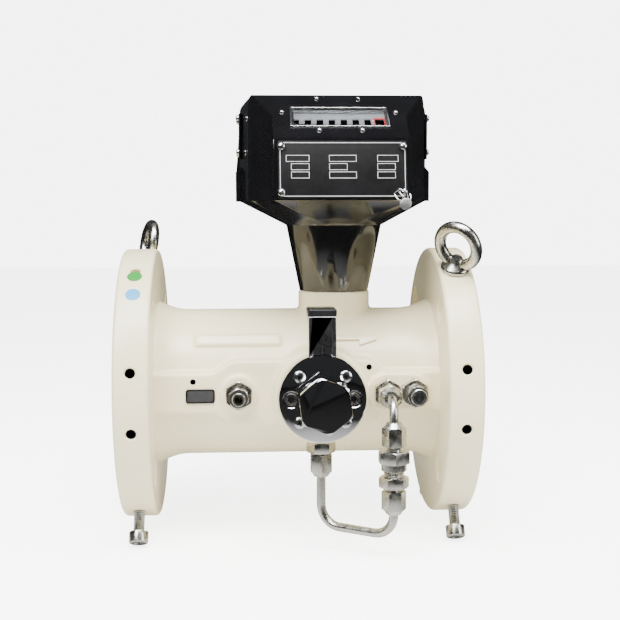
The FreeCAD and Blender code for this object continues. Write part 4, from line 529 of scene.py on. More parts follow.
def make_finishes(c):
    patch_group()
    grain_group()
    wear_group()
    finish("cream_paint", "Cream housing paint", c.cream, toned(c.cream, 0.97), (0.30, 0.40), patch=22.0,
           grain=620.0, bump=0.22, depth=0.00025, wear=0.10, edge=(0.90, 0.86, 0.76), coat=0.25,
           coat_roughness=0.15)
    finish("black_paint", "Black head enamel", c.black, toned(c.black, 1.6), (0.12, 0.20), patch=30.0,
           grain=350.0,
           bump=0.02, depth=0.0001, wear=0.0, edge=(0.04, 0.04, 0.04), coat=0.8, coat_roughness=0.04,
           specular=0.4)
    finish("chrome", "Chrome plate", c.chrome, toned(c.chrome, 0.93), (0.04, 0.09), 1.0, patch=40.0,
           grain=120.0,
           bump=0.03, depth=0.0002, wear=0.1)
    finish("zinc_steel", "Zinc plated steel", c.zinc, (0.54, 0.53, 0.47), (0.20, 0.34), 1.0, patch=220.0,
           grain=700.0, stretch=(1, 1, 0.3), bump=0.12, wear=0.3, edge=(0.85, 0.85, 0.83))
    finish("bright_steel", "Bright steel", (0.66, 0.66, 0.66), (0.60, 0.60, 0.61), (0.16, 0.26), 1.0,
           patch=120.0,
           grain=800.0, stretch=(0.15, 1, 1), bump=0.08, wear=0.2)
    finish("aluminium", "Machined aluminium", (0.74, 0.74, 0.75), (0.68, 0.68, 0.70), (0.22, 0.32), 1.0,
           patch=80.0,
           grain=900.0, stretch=(1, 0.1, 0.1), bump=0.12, wear=0.2)
    finish("anodised_plate", "Black anodised plate", c.plate, toned(c.plate, 1.5), (0.45, 0.55), patch=50.0,
           grain=1200.0, stretch=(0.1, 1, 1), bump=0.04, wear=0.1, edge=(0.10, 0.10, 0.10), specular=0.1)
    finish("brass", "Brass", (0.70, 0.50, 0.20), (0.62, 0.45, 0.20), (0.20, 0.30), 1.0, patch=150.0,
           grain=900.0,
           bump=0.1, wear=0.2)
    # black rubber, also used for the disc that paints shade into the port coupling's bore
    finish("black_rubber", "Black rubber and painted shade", (0.014, 0.014, 0.014), (0.02, 0.02, 0.02), (0.45, 0.6), patch=200.0,
           grain=2500.0, bump=0.1)
    # dark plastic, also used for the cups and recess floors that paint shade into holes
    finish("dark_plastic", "Dark plastic and painted shade", (0.008, 0.008, 0.009), (0.012, 0.012, 0.013), (0.25, 0.4),
           patch=100.0,
           grain=2200.0, bump=0.1, specular=0.3)
    finish("white_plastic", "Number drum", (0.004, 0.004, 0.005), (0.006, 0.006, 0.007), (0.35, 0.5),
           patch=150.0,
           grain=1500.0, bump=0.05, specular=0.2)
    finish("grey_plastic", "Light mask", (0.27, 0.27, 0.285), (0.24, 0.24, 0.255), (0.4, 0.5), patch=90.0,
           grain=1800.0, bump=0.05)
    finish("magnet_plastic", "Magnet moulding", (0.01, 0.01, 0.011), (0.02, 0.018, 0.018), (0.4, 0.55),
           patch=200.0,
           grain=1500.0, bump=0.1)
    pane = finish("clear_glass", "Clear window", (0.95, 0.97, 0.97), (0.92, 0.95, 0.95), (0.02, 0.05),
                  patch=20.0,
                  grain=200.0, bump=0.02)
    pane.inputs["Transmission Weight"].default_value = 1.0
    pane.inputs["IOR"].default_value = 1.2
    finish("plate_line", "Plate lines", c.line, (0.5, 0.5, 0.49), (0.4, 0.5), patch=200.0)
    finish("digit", "Number print", (0.95, 0.95, 0.93), (0.92, 0.92, 0.90), (0.4, 0.5), patch=300.0)
    finish("digit_blue", "Fast number print", (0.25, 0.45, 0.62), (0.22, 0.40, 0.58), (0.4, 0.5), patch=300.0)
    finish("red_line", "Red frame", (0.60, 0.03, 0.03), (0.50, 0.03, 0.03), (0.4, 0.5), patch=200.0)
    finish("green_dot", "Green sticker", c.green, toned(c.green, 0.9), (0.35, 0.45))
    finish("blue_dot", "Blue sticker", c.blue, toned(c.blue, 0.93), (0.35, 0.45))
    finish("lead", "Lead seal", (0.42, 0.42, 0.42), (0.30, 0.30, 0.30), (0.35, 0.5), 0.9, patch=500.0,
           grain=900.0,
           bump=0.4, depth=0.0003, wear=0.4)
    finish("label_grey", "Label face", (0.030, 0.030, 0.032), (0.038, 0.038, 0.040), (0.35, 0.45), patch=200.0)
    finish("inside", "Machined iron", (0.30, 0.29, 0.27), (0.24, 0.23, 0.22), (0.3, 0.45), 0.9, patch=90.0,
           grain=900.0, bump=0.15)


# ---- shapes shared by several pieces ----
def radial(x, degrees, side, radius):
    """Matrix that stands a piece made along Z on the flange rim."""
    a = math.radians(degrees)
    out = Vector((0, side * math.sin(a), math.cos(a)))
    lean = math.atan2(-out.y, out.z)
    return at(Vector((x, 0, 0)) + out * radius) @ Matrix.Rotation(lean, 4, "X")


def slope_matrix():
    """From slope coordinates (across, up the slope, out of it) to the frame."""
    return at((HEAD_X, SLOPE_Y, SLOPE_Z)) @ Matrix.Rotation(SLOPE, 4, "X")


def panel_matrix():
    """From nameplate panel coordinates to the frame."""
    return at((HEAD_X, PANEL_Y, HEAD_LOW)) @ Matrix.Rotation(math.atan2(39.0, 6.3), 4, "X")


def lining(radius, depth, mouth, wall=0.3):
    """Dark cup that paints shade into a drilled hole, standing along Z with its floor at the far end."""
    return turned("lining", [(-depth, radius), (-mouth, radius), (-mouth, radius - wall),
                             (-depth + wall, radius - wall)], sides=32)


# ---- housing ----
def barrel_profile(radius, rise, run, t, end):
    points = [(t - 12, radius + rise), (t, radius + rise)]
    for i in range(1, 9):
        a = i / 8
        points.append((t + run * a, radius + rise * (1 - math.sin(a * math.pi / 2))))
    other = [(end - x, r) for x, r in reversed(points)]
    return points + other


class METER_OT_casting(bpy.types.Operator):
    """Cast middle of the housing: barrel, side pad, bosses and tower with soft cast edges"""

    bl_idname = "meter.casting"
    bl_label = "Casting"

    def execute(self, context):
        h = context.scene.meter_housing
        p = context.scene.meter_pump
        end = h.face_to_face / MM
        t = h.flange_thickness / MM
        r = h.barrel_diameter / MM / 2
        pad = -h.pad_distance / MM
        boss = -h.boss_distance / MM
        tower = h.tower_x / MM
        pump = p.pump_x / MM
        body = turned("housing_casting", barrel_profile(r, 6.0, 20.0, t, end), axis=X, sides=128)
        bare = block("bare_pad", (51, -54.0, -4.3), (109, -40, 4.3))
        forms = [block("strip", (t - 1, pad, -14), (end - t + 1, -20, 14)),
                 wrapped("middle_pad", [block("low", (63.4, pad, -14), (178.5, -20, 14)),
                                        block("high", (76.4, pad, -22.2), (168.8, -20, 22.2))]),
                 rod("left_boss", 12.4, 20, (LEFT_PORT, boss + 20, 0), -Y),
                 wrapped("right_boss", [rod("port", 12.4, 20, (x, boss + 20, 0), -Y) for x in (179, 197)]),
                 rod("pump_boss", p.boss_diameter / MM / 2, 50, (pump, -p.seat_distance / MM + 50, 0), -Y,
                     sides=96),
                 rod("tower", h.tower_diameter / MM / 2, h.tower_top / MM, (tower, 0, 0), sides=96),
                 moved(bare, roll(-40.0))]
        for form in forms:
            carved(body, form, "UNION")
        remesh = body.modifiers.new("skin", "REMESH")
        remesh.mode = "VOXEL"
        remesh.voxel_size = h.casting_grain
        pick(body)
        bpy.ops.object.modifier_apply(modifier=remesh.name)
        smooth = body.modifiers.new("cast", "SMOOTH")
        smooth.factor = 0.5
        smooth.iterations = 9
        bpy.ops.object.modifier_apply(modifier=smooth.name)
        tools = [rod("bore", h.bore / MM / 2, end + 20, (-10, 0, 0), X, sides=96),
                 rod("well", 22.0, 40, (tower, 0, 54.0)), rod("gear_well", 16.2, 20, (tower, 0, 38.0)),
                 rod("spigot", 12.05, 40, (pump, -60, 0), -Y)]
        tools += [rod("drill", 2.0, 8, (x, pad + 6, z), -Y, sides=24) for x, z in PAD_HOLES]
        for tool in tools:
            carved(body, tool)
        finished(body, "meter", "cream_paint", ["meter_housing"], smooth=50.0)
        # dark cups inside the blind pad holes: painted shade in the holes
        shade_cups = [put(lining(1.98, 5.9, 0.1, 0.08), (x, pad, z), -Y) for x, z in PAD_HOLES]
        finished(joined("drill_linings", shade_cups), "meter", "dark_plastic")
        half = 5.75
        arrow = wrapped("flow_arrow", [block("stem", (9.0, -56, -1.6), (14.0, -50, 1.6)),
                                       block("wide", (2.2, -56, -half), (2.3, -50, half)),
                                       block("tip", (14.0, -56, -0.1), (14.1, -50, 0.1))])
        stem = block("arrow_stem", (-14.0, -56, -1.5), (4.0, -50, 1.5))
        carved(arrow, stem, "UNION")
        carved(arrow, rod("skin", r + 1.7, 60, (-30, 0, 0), X, sides=128), "INTERSECT")
        rounded(arrow, 0.35, limit=30.0)
        arrow = moved(arrow, at((161.0, 0, 0)) @ roll(-41.0))
        finished(arrow, "meter", "cream_paint")
        return {"FINISHED"}


class METER_OT_flanges(bpy.types.Operator):
    """Both flanges with bolt holes, rim holes and rounded rims"""

    bl_idname = "meter.flanges"
    bl_label = "Flanges"

    def execute(self, context):
        h = context.scene.meter_housing
        t = h.flange_thickness / MM
        end = h.face_to_face / MM
        r = h.flange_diameter / MM / 2
        bore = h.bore / MM / 2
        rim = 2.5
        for name, start, recess in (("inlet_flange", 0.0, 46.05), ("outlet_flange", end - t, 0.0)):
            profile = [(start, bore if not recess else recess)]
            for i in range(5):
                a = math.pi / 2 * i / 4
                profile.append((start + rim - rim * math.cos(a), r - rim + rim * math.sin(a)))
            for i in range(5):
                a = math.pi / 2 * i / 4
                profile.append((start + t - rim + rim * math.sin(a), r - rim + rim * math.cos(a)))
            profile.append((start + t, bore))
            if recess:
                profile += [(start + 10.0, bore), (start + 10.0, recess)]
            flange = turned(name, profile, axis=X, sides=192, hollow=True)
            tools = []
            for i in range(4):
                a = math.radians(45 + 90 * i)
                base = (start - 2, h.bolt_circle / MM / 2 * math.cos(a), h.bolt_circle / MM / 2 * math.sin(a))
                tools.append(rod("bolt_drill", h.bolt_hole / MM / 2, t + 4, base, X, sides=48))
            for side in (-1, 1):
                for degrees in (30.0, 78.0, 102.0, 150.0):
                    drill = turned("rim_drill", [(-17, 3.4), (-1.0, 3.4), (2.0, 6.4)], sides=32)
                    tools.append(moved(drill, radial(start + t / 2, degrees, side, r)))
            carved(flange, joined("drills", tools))
            # dark cups inside the rim holes at 78 and 102 degrees: painted shade in the holes
            shade_cups = [moved(lining(3.38, 16.8, 1.1), radial(start + t / 2, degrees, side, r))
                    for side in (-1, 1) for degrees in (78.0, 102.0)]
            finished(joined(name + "_linings", shade_cups), "meter", "dark_plastic")
            finished(flange, "meter", "cream_paint")
        return {"FINISHED"}


class METER_OT_lifting(bpy.types.Operator):
    """Eyebolts on the flanges and the four socket screws that the meter stands on"""

    bl_idname = "meter.lifting"
    bl_label = "Eyebolts and feet"

    def execute(self, context):
        h = context.scene.meter_housing
        r = h.flange_diameter / MM / 2
        low = h.flange_thickness / MM / 2
        high = h.face_to_face / MM - low
        eye = ring("eye", 14.0, 4.0, (0, 0, 18.0), X, 72, 24)
        collar = turned("collar", [(0, 9.4), (0.6, 10.0), (2.4, 10.0), (3.4, 9.0), (5.0, 6.6), (7.0, 5.0),
                                   (9.5, 3.6)])
        shank = threaded("shank", 3.35, 1.25, 13.0, (0, 0, -13.0), Z)
        carved(eye, collar, "UNION")
        eye = joined("eyebolt", [eye, shank])
        other = again(eye, "eyebolt_left")
        moved(eye, radial(high, 30.0, -1, r) @ roll(50.0, "Z"))
        moved(other, radial(low, 30.0, 1, r) @ roll(20.0, "Z"))
        pair = joined("eyebolts_forged", [eye, other])
        finished(pair, "meter", "zinc_steel", ["eyebolts"], smooth=45.0)
        screw = turned("foot", [(14.0, 6.3), (14.2, 6.5), (21.2, 6.5), (22.0, 5.7)], sides=64)
        carved(screw, turned("key", [(18.0, 3.46), (23.0, 3.46)], sides=6))
        rounded(screw, 0.25)
        screw = joined("foot", [screw, threaded("foot_shank", 3.9, 1.25, 14.2, (0, 0, 0), Z),
                                rod("foot_root", 3.35, 15.0, (0, 0, -15.0))])
        screws = [moved(again(screw, "foot_copy"), radial(x, 150.0, side, r + 0.05))
                  for x in (low, high) for side in (-1, 1)]
        bpy.data.objects.remove(screw)
        finished(joined("foot_screws_cut", screws), "meter", "zinc_steel", ["foot_screws"])
        return {"FINISHED"}


class METER_OT_pump(bpy.types.Operator):
    """Oil pump: disc, screws, hexagonal cap and oil reservoir"""

    bl_idname = "meter.pump"
    bl_label = "Oil pump"

    def execute(self, context):
        p = context.scene.meter_pump
        x = p.pump_x / MM
        seat = p.seat_distance / MM
        face = seat + p.disc_thickness / MM
        r = p.disc_diameter / MM / 2
        t = p.disc_thickness / MM
        socket_reach = 20.5
        cross_reach = 15
        disc = turned("pump_disc", [(0, r - 0.5), (0.5, r), (t - 1.2, r), (t - 0.35, r - 0.35), (t, r - 1.2)],
                      (x, -seat, 0), -Y, 128)
        for dx in (-socket_reach, socket_reach):
            carved(disc, turned("counterbore", [(-5.6, 5.3), (-0.4, 5.3), (0.3, 6.0)], (x + dx, -face, 0), -Y,
                                48))
        neck = turned("pump_neck", [(-0.5, 12.4), (7.0, 12.4)], (x, -face, 0), -Y, 64)
        spigot = turned("pump_spigot", [(0, 11.0), (1, 12.0), (14.5, 12.0)], (x, -seat + 14, 0), -Y, 64)
        disc = joined("pump_disc", [disc, neck, spigot])
        finished(disc, "meter", "chrome", ["pump_body"])
        heads = []
        shade_floors = []
        for dx in (-cross_reach, cross_reach):
            for dz in (-cross_reach, cross_reach):
                head = turned("screw", [(-9, 2.4), (0, 2.4), (0, 4.0), (0.8, 4.0), (1.7, 3.6), (2.3, 2.6),
                                        (2.6, 1.2)],
                              (x + dx, -face, dz), -Y, 40)
                tilt = 20.0 if dx * dz > 0 else 55.0
                for k in (0, 90):
                    slot = block("slot", (-2.1, -0.5, 1.3), (2.1, 0.5, 4.0))
                    slot = put(slot, (x + dx, -face, dz), -Y, k + tilt)
                    carved(head, slot)
                    # dark plate at the bottom of each cross recess: painted shade
                    floor = block("floor", (-2.05, -0.5, 1.25), (2.05, 0.5, 1.36))
                    shade_floors.append(put(floor, (x + dx, -face, dz), -Y, k + tilt))
                heads.append(head)
        finished(joined("pump_screws", heads), "meter", "bright_steel", ["pump_cross_screws"])
        sockets = []
        for dx in (-socket_reach, socket_reach):
            head = turned("socket", [(-9, 2.4), (0, 2.4), (0, 4.0), (0.2, 4.2), (4.6, 4.2), (5.0, 3.8)],
                          (x + dx, -face + 5.6, 0), -Y, 48)
            carved(head, turned("key", [(2.4, 2.3), (6, 2.3)], (x + dx, -face + 5.6, 0), -Y, 6))
            # dark hexagon at the bottom of each socket key: painted shade
            shade_floors.append(turned("floor", [(2.3, 2.25), (2.45, 2.25)], (x + dx, -face + 5.6, 0), -Y, 6))
            sockets.append(head)
        finished(joined("pump_socket_heads", sockets), "meter", "zinc_steel", ["pump_socket_screws"])
        finished(joined("recess_floors", shade_floors), "meter", "dark_plastic")
        cap = hexed("pump_cap_cut", p.cap_flats / MM, p.cap_length / MM, (x, -face - 2, 0), -Y, 1.5, 8.0,
                    0.5)
        carved(cap, rod("cap_inside", 13.1, 25.0, (x, -face, 0), -Y))
        finished(cap, "cap", "chrome", ["pump_cap"], smooth=30.0)
        block_top = 54.0
        tank = block("reservoir_block", (x - 9.1, -84.0, 20.0), (x + 9.1, -62.0, block_top))
        carved(tank, rod("saddle", r + 0.05, 30, (x, -60, 0), -Y, sides=128))
        carved(tank, rod("saddle_boss", p.boss_diameter / MM / 2 + 0.05, 40, (x, -36, 0), -Y, sides=128))
        carved(tank, block("window", (x - 6.2, -86.0, 27.0), (x + 6.2, -82.4, 53.2)))
        carved(tank, block("well", (x - 6.1, -79.5, 36.0), (x + 6.1, -65.0, 60.0)))
        rounded(tank, 0.7, 3)
        finished(tank, "meter", "chrome", ["oil_reservoir"], shade="bright_steel")
        lid = block("reservoir_lid", (x - 9.4, -84.3, block_top), (x + 9.4, -61.7, block_top + 4.7))
        rounded(lid, 1.0, 4)
        finished(lid, "meter", "dark_plastic", ["reservoir_cap"])
        window = block("sight_window", (x - 6.15, -83.7, r + 0.6), (x + 6.15, -82.4, 53.15))
        rounded(window, 0.3)
        finished(window, "meter", "dark_plastic", ["reservoir_sight_glass"])
        line = block("sight_line", (x - 0.35, -83.95, r + 1.0), (x + 0.35, -83.6, 53.0))
        rounded(line, 0.15)
        finished(line, "meter", "bright_steel")
        return {"FINISHED"}


class METER_OT_pipework(bpy.types.Operator):
    """Fittings, nuts, check valve and bent oil tube"""

    bl_idname = "meter.pipework"
    bl_label = "Oil line and ports"

    def execute(self, context):
        p = context.scene.meter_pump
        x = p.pump_x / MM
        boss = context.scene.meter_housing.boss_distance / MM
        nut = p.nut_flats / MM
        reach = p.nut_length / MM
        tube_r = p.tube_diameter / MM / 2
        out_y = -67.0
        line_y = -97.0

        def stud(name, base, axis, nose):
            base = Vector(base)
            hexa = hexed(name, 17.0, 7.0, base, axis)
            neck = threaded("neck", 5.0, 1.0, nose, base + axis * 7.0, axis)
            root = rod("root", 4.5, 8.0, base - axis * 8.0, axis)
            return joined(name, [hexa, neck, root])

        def compression(name, base, axis, turn):
            base = Vector(base)
            body = hexed(name, nut, reach * 0.8, base, axis, 0.8, turn)
            cone = turned("nut_cone", [(0, nut / 2 - 0.2), (reach * 0.2, 4.6)], base + axis * reach * 0.8, axis,
                          48)
            return joined(name, [body, cone])

        studs = [stud("feed_stud", (FEED_PORT, -boss, 0), -Y, 85.0 - reach - boss - 7.0),
                 stud("outlet_stud", (x, out_y, -31.5), -Z, 1.0)]
        finished(joined("tube_studs", studs), "meter", "zinc_steel", ["tube_fittings"])
        valve_top = -31.5
        hex_run, collar_run, thread_run, end_run, tail_run = 8.1, 5.1, 4.0, 7.0, 2.2
        low = valve_top - hex_run - collar_run - thread_run - end_run - tail_run
        nuts = [compression("nut", (FEED_PORT, line_y, valve_top + 2.8), Z, 30.0),
                compression("nut", (FEED_PORT, line_y, low), -Z, 0.0),
                compression("nut", (FEED_PORT, -85.0 + reach, 0), -Y, 0.0),
                compression("nut", (x, out_y, -31.5 - 7.0 - 1.0), -Z, 30.0)]
        finished(joined("compression_nuts_cut", nuts), "meter", "zinc_steel", ["compression_nuts"])
        tube = piped("oil_line", [(x, out_y, -46.0), (x, out_y, -88.0), (FEED_PORT, line_y, -88.0),
                                  (FEED_PORT, line_y, low - reach + 9.0)], tube_r, 14.0)
        finished(tube, "meter", "zinc_steel", ["oil_line_tube"], smooth=60.0)
        elbow = piped("oil_elbow", [(FEED_PORT, -76.0, 0), (FEED_PORT, line_y, 0),
                                    (FEED_PORT, line_y, valve_top + 9.2)], tube_r, 12.0)
        finished(elbow, "meter", "zinc_steel", ["elbow_tube"], smooth=60.0)
        z = valve_top
        top = hexed("valve", 19.0, hex_run, (FEED_PORT, line_y, z), -Z, 1.0, 30.0)
        carved(top, rod("chamber", 2.65, 2.5, (FEED_PORT, line_y, z - 8.2)))
        valve = [top, rod("valve_neck", 5.0, 2.8, (FEED_PORT, line_y, z))]
        z -= hex_run
        collar = turned("valve_collar", [(0, 7.7), (0.5, 8.2), (4.6, 8.2), (5.1, 7.7)], (FEED_PORT, line_y, z),
                        -Z)
        carved(collar, rod("chamber", 2.65, 5.3, (FEED_PORT, line_y, z - 5.2)))
        valve.append(collar)
        z -= collar_run
        valve.append(threaded("valve_thread", 6.6, 1.0, thread_run, (FEED_PORT, line_y, z), -Z))
        z -= thread_run
        valve.append(hexed("valve_end", 17.0, end_run, (FEED_PORT, line_y, z), -Z, 1.0, 0.0))
        z -= end_run
        valve.append(rod("valve_tail", 3.4, tail_run, (FEED_PORT, line_y, z), -Z))
        finished(joined("check_valve_cut", valve), "meter", "zinc_steel", ["check_valve_body"])
        left = [stud("left", (LEFT_PORT, -boss, 0), -Y, 3.0),
                hexed("left_nut", 12.0, 8.0, (LEFT_PORT, -boss - 10.0, 0), -Y, 0.8, 10.0),
                turned("left_nose", [(0, 4.4), (4.4, 4.4), (5.0, 3.9)], (LEFT_PORT, -boss - 18.0, 0), -Y)]
        port = joined("pressure_port_cut", left)
        carved(port, rod("port_bore", 2.7, 40.0, (LEFT_PORT, -50.0, 0), -Y, sides=32), tangled=True)
        finished(port, "meter", "zinc_steel", ["pressure_port_fitting"])
        c = Vector((RIGHT_PORT, -boss, 0))
        coupling = [stud("right", c, -Y, 3.0),
                    turned("sleeve", [(10, 6.2), (10.5, 6.6), (16.0, 6.6), (16.5, 6.2), (16.5, 5.4),
                                      (18.2, 5.4),
                                      (18.2, 5.0), (19.8, 5.0), (19.8, 5.4), (22.1, 5.4), (22.5, 5.0)], c, -Y,
                           64)]
        coupling = joined("port_coupling_cut", coupling)
        carved(coupling, rod("mouth", 3.4, 12.0, c - Y * 14.5, -Y, sides=40), tangled=True)
        finished(coupling, "meter", "zinc_steel", ["port_coupling"])
        core = turned("port_core", [(20.5, 3.38), (22.3, 3.38), (22.3, 2.1), (20.5, 2.1)], c, -Y, 40, True)
        finished(core, "meter", "zinc_steel", shade="bright_steel")
        # the dark disc deep in the coupling's bore is painted shade; the two rings are rubber seals
        dark = [turned("port_floor", [(19.9, 3.38), (20.4, 3.38)], c, -Y, 40),
                turned("face_seal", [(22.0, 4.95), (22.75, 4.95), (22.75, 3.75), (22.0, 3.75)], c, -Y, 48,
                       True),
                turned("nut_seal", [(17.9, 5.75), (18.3, 5.75), (18.3, 4.45), (17.9, 4.45)],
                       (LEFT_PORT, -boss, 0), -Y, 48,
                       True)]
        finished(joined("port_seals", dark), "meter", "black_rubber")
        seal = ring("coupling_seal", 5.8, 0.75, c - Y * 19.0, Y, 48, 14)
        finished(seal, "meter", "black_rubber", ["port_coupling_o_ring"])
        return {"FINISHED"}


# ---- index head ----
def head_form(name, s, back):
    """Closed form of the head casing with its funnel, drawn in by s."""
    top = HEAD_TOP - s

    def slab(hw, y, z1):
        return block("slab", (HEAD_X - hw, y - 0.01, HEAD_LOW), (HEAD_X + hw, y + 0.01, z1))

    def slope_z(y):
        return SLOPE_Z + (y - SLOPE_Y) * SLOPE_RISE - s / math.cos(SLOPE)

    brow = -29.0 + s * math.tan(SLOPE / 2)
    cheek = -50.0 + s * 0.6
    temple = -25.0 + s * 0.4
    hw = HEAD_HALF - s
    wide = 61.0 - s
    narrow = FRONT_HALF - s
    nose = narrow + 0.03
    at_brow = narrow + (wide - narrow) * (brow - cheek) / (temple - cheek)
    main = wrapped(name, [slab(hw, back, top), slab(hw, 5.0, top), slab(wide, temple, top),
                          slab(at_brow, brow, top),
                          slab(narrow, cheek, slope_z(cheek)),
                          rod("mouth", 34.0 - s, 0.1, (HEAD_X, 0, 112.0 - s * 0.2), Z, sides=96)])
    pick(main)
    for edge in main.data.edges:
        a, b = (main.data.vertices[i].co for i in edge.vertices)
        along = abs(a.y - b.y) > 5 * MM
        edge.select = along and min(a.z, b.z) > (top - 0.2) * MM and abs(a.x - HEAD_X * MM) > 50 * MM
    for part in list(main.data.polygons) + list(main.data.vertices):
        part.select = False
    bpy.context.tool_settings.mesh_select_mode = (False, True, False)
    bpy.ops.object.mode_set(mode="EDIT")
    bpy.ops.mesh.bevel(offset=(10.0 - s / 2) * MM, segments=6, affect="EDGES")
    bpy.ops.object.mode_set(mode="OBJECT")
    front = PANEL_Y + s
    fold = SLOPE_Y + s
    snout = wrapped("snout", [slab(nose, front, HEAD_LOW + 0.1), slab(nose, fold, slope_z(fold)),
                              slab(nose, -42.0, slope_z(-42.0)),
                              rod("mouth", 33.6 - s, 0.1, (HEAD_X, 0, 112.6), Z, sides=64)])
    return carved(main, snout, "UNION")


def tier(half, y0, y1, z0, z1):
    """Block across the head, even about its middle."""
    return block("tier", (HEAD_X - half, y0, z0), (HEAD_X + half, y1, z1))


class METER_OT_head(bpy.types.Operator):
    """Neck, casing and back cover of the index head"""

    bl_idname = "meter.head"
    bl_label = "Index head"

    def execute(self, context):
        wall = context.scene.meter_head.wall / MM
        neck = turned("neck_cone", [(61.1, 17.9), (61.1, 21.92), (65.4, 21.92), (65.5, 24.4), (65.9, 24.75),
                                    (112.0, 34.0), (112.0, 31.0), (106.0, 30.0), (66.0, 17.9)],
                      (HEAD_X, 0, 0), Z, 128, True)
        finished(neck, "index_head", "black_paint", ["head_neck"])
        body = head_form("casing", 0.02, 38.0)
        shoulder = wrapped("shoulder", [tier(70, 5, 38, 129, 150), tier(65, 5, 38, 155.9, 156)])
        carved(body, shoulder, "UNION")
        pad = block("pad", (-43.5, 0.5, -1.0), (43.5, 40.7, 1.0))
        carved(body, moved(pad, panel_matrix()), "UNION")
        rounded(body, 1.6, 4, 18.0)
        carved(body, head_form("cavity", wall, 39.0))
        carved(body, moved(block("window", (-31.2, WINDOW_MIDDLE - 9.95, -8),
                                  (31.2, WINDOW_MIDDLE + 9.95, 5)), slope_matrix()))
        finished(body, "index_head", "black_paint", ["head_casing"], smooth=40.0)
        cover = wrapped("cover", [tier(70, 38, 52, 129, 150), tier(67, 38, 52, 154, 191),
                                  tier(57, 38, 52, 200.9, 201)])
        rounded(cover, 3.0, 5, 15.0)
        carved(cover, tier(64, 37, 49, 132, 192))
        finished(cover, "index_head", "black_paint", ["head_back_cover"], smooth=40.0)
        return {"FINISHED"}


class METER_OT_counter(bpy.types.Operator):
    """Window frame, mask, pane and plain numbers on the drums"""

    bl_idname = "meter.counter"
    bl_label = "Counter"

    def execute(self, context):
        h = context.scene.meter_head
        pitch = h.drum_pitch / MM
        to_slope = slope_matrix()
        mid = WINDOW_MIDDLE
        bezel = block("bezel", (-33.0, mid - 11.75, 0.0), (33.0, mid + 11.75, 0.8))
        carved(bezel, block("throat", (-31.8, mid - 10.9, -8.0), (31.8, mid + 10.55, 3.0)))
        rounded(bezel, 0.3, 3)
        border = block("window_border", (-31.8, mid - 10.9, -0.2), (31.8, mid + 10.55, 0.1))
        carved(border, block("throat", (-30.9, mid - 9.9, -8.0), (30.9, mid + 9.7, 3.0)))
        finished(moved(border, to_slope), "index_head", "bright_steel", shade="dark_plastic")
        inner = block("inner", (-31.1, mid - 9.85, -4.0), (31.1, mid + 9.85, -0.3))
        carved(inner, block("throat", (-30.6, mid - 9.5, -8.0), (30.6, mid + 9.4, 3.0)))
        bezel = moved(joined("window_bezel", [bezel, inner]), to_slope)
        finished(bezel, "index_head", "bright_steel", ["window_frame"])
        pane = block("pane", (-30.5, mid - 9.4, -2.0), (30.5, mid + 9.3, -0.5))
        rounded(pane, 0.2)
        finished(moved(pane, to_slope), "index_head", "clear_glass", ["window_pane"])
        mask = block("mask", (-34.0, mid - 12.2, -4.7), (34.0, mid + 12.2, -4.2))
        places = [h.drum_first / MM + pitch * i for i in range(8)]
        low, high = -3.2, 3.2
        for i, x in enumerate(places):
            wide = 2.2 if i < 7 else 2.9
            carved(mask, block("aperture", (x - wide, mid + low, -8), (x + wide, mid + high, 0)))
        finished(moved(mask, to_slope), "index_head", "grey_plastic", ["counter_mask"])
        red = block("red", (places[7] - 3.7, mid + low - 1.2, -4.25),
                    (places[7] + 3.7, mid + high + 1.2, -4.05))
        carved(red, block("hole", (places[7] - 2.9, mid + low, -8), (places[7] + 2.9, mid + high, 0)))
        finished(moved(red, to_slope), "index_head", "grey_plastic", shade="red_line")
        dots = [block("dot", (places[6] + 3.3, mid + k - 0.35, -4.25), (places[6] + 4.0, mid + k + 0.35, -4.1))
                for k in (-1.4, 1.8)]
        finished(moved(joined("mask_dots", dots), to_slope), "index_head", "grey_plastic", shade="digit")
        for i, x in enumerate(places):
            marks = []
            for k in range(10):
                bench()
                bpy.ops.object.text_add(location=(0, 0, 0))
                text = bpy.context.object
                text.data.body = str(k)
                text.data.size = 5.6 * MM
                text.data.align_x = "CENTER"
                text.data.align_y = "CENTER"
                text.data.extrude = 0.04 * MM
                bpy.ops.object.convert(target="MESH")
                mark = settle(bpy.context.object)
                mark.matrix_world = (to_slope @ at((x, mid, -13.4)) @ roll(36.0 * k - NUMBER_LEAN)
                                     @ at((0, 0, 7.52)))
                marks.append(settle(mark))
            finished(joined("numbers_" + str(i + 1), marks), "drum_" + str(i + 1), "white_plastic", smooth=0,
                     shade="digit_blue" if i == 7 else "digit")
        return {"FINISHED"}


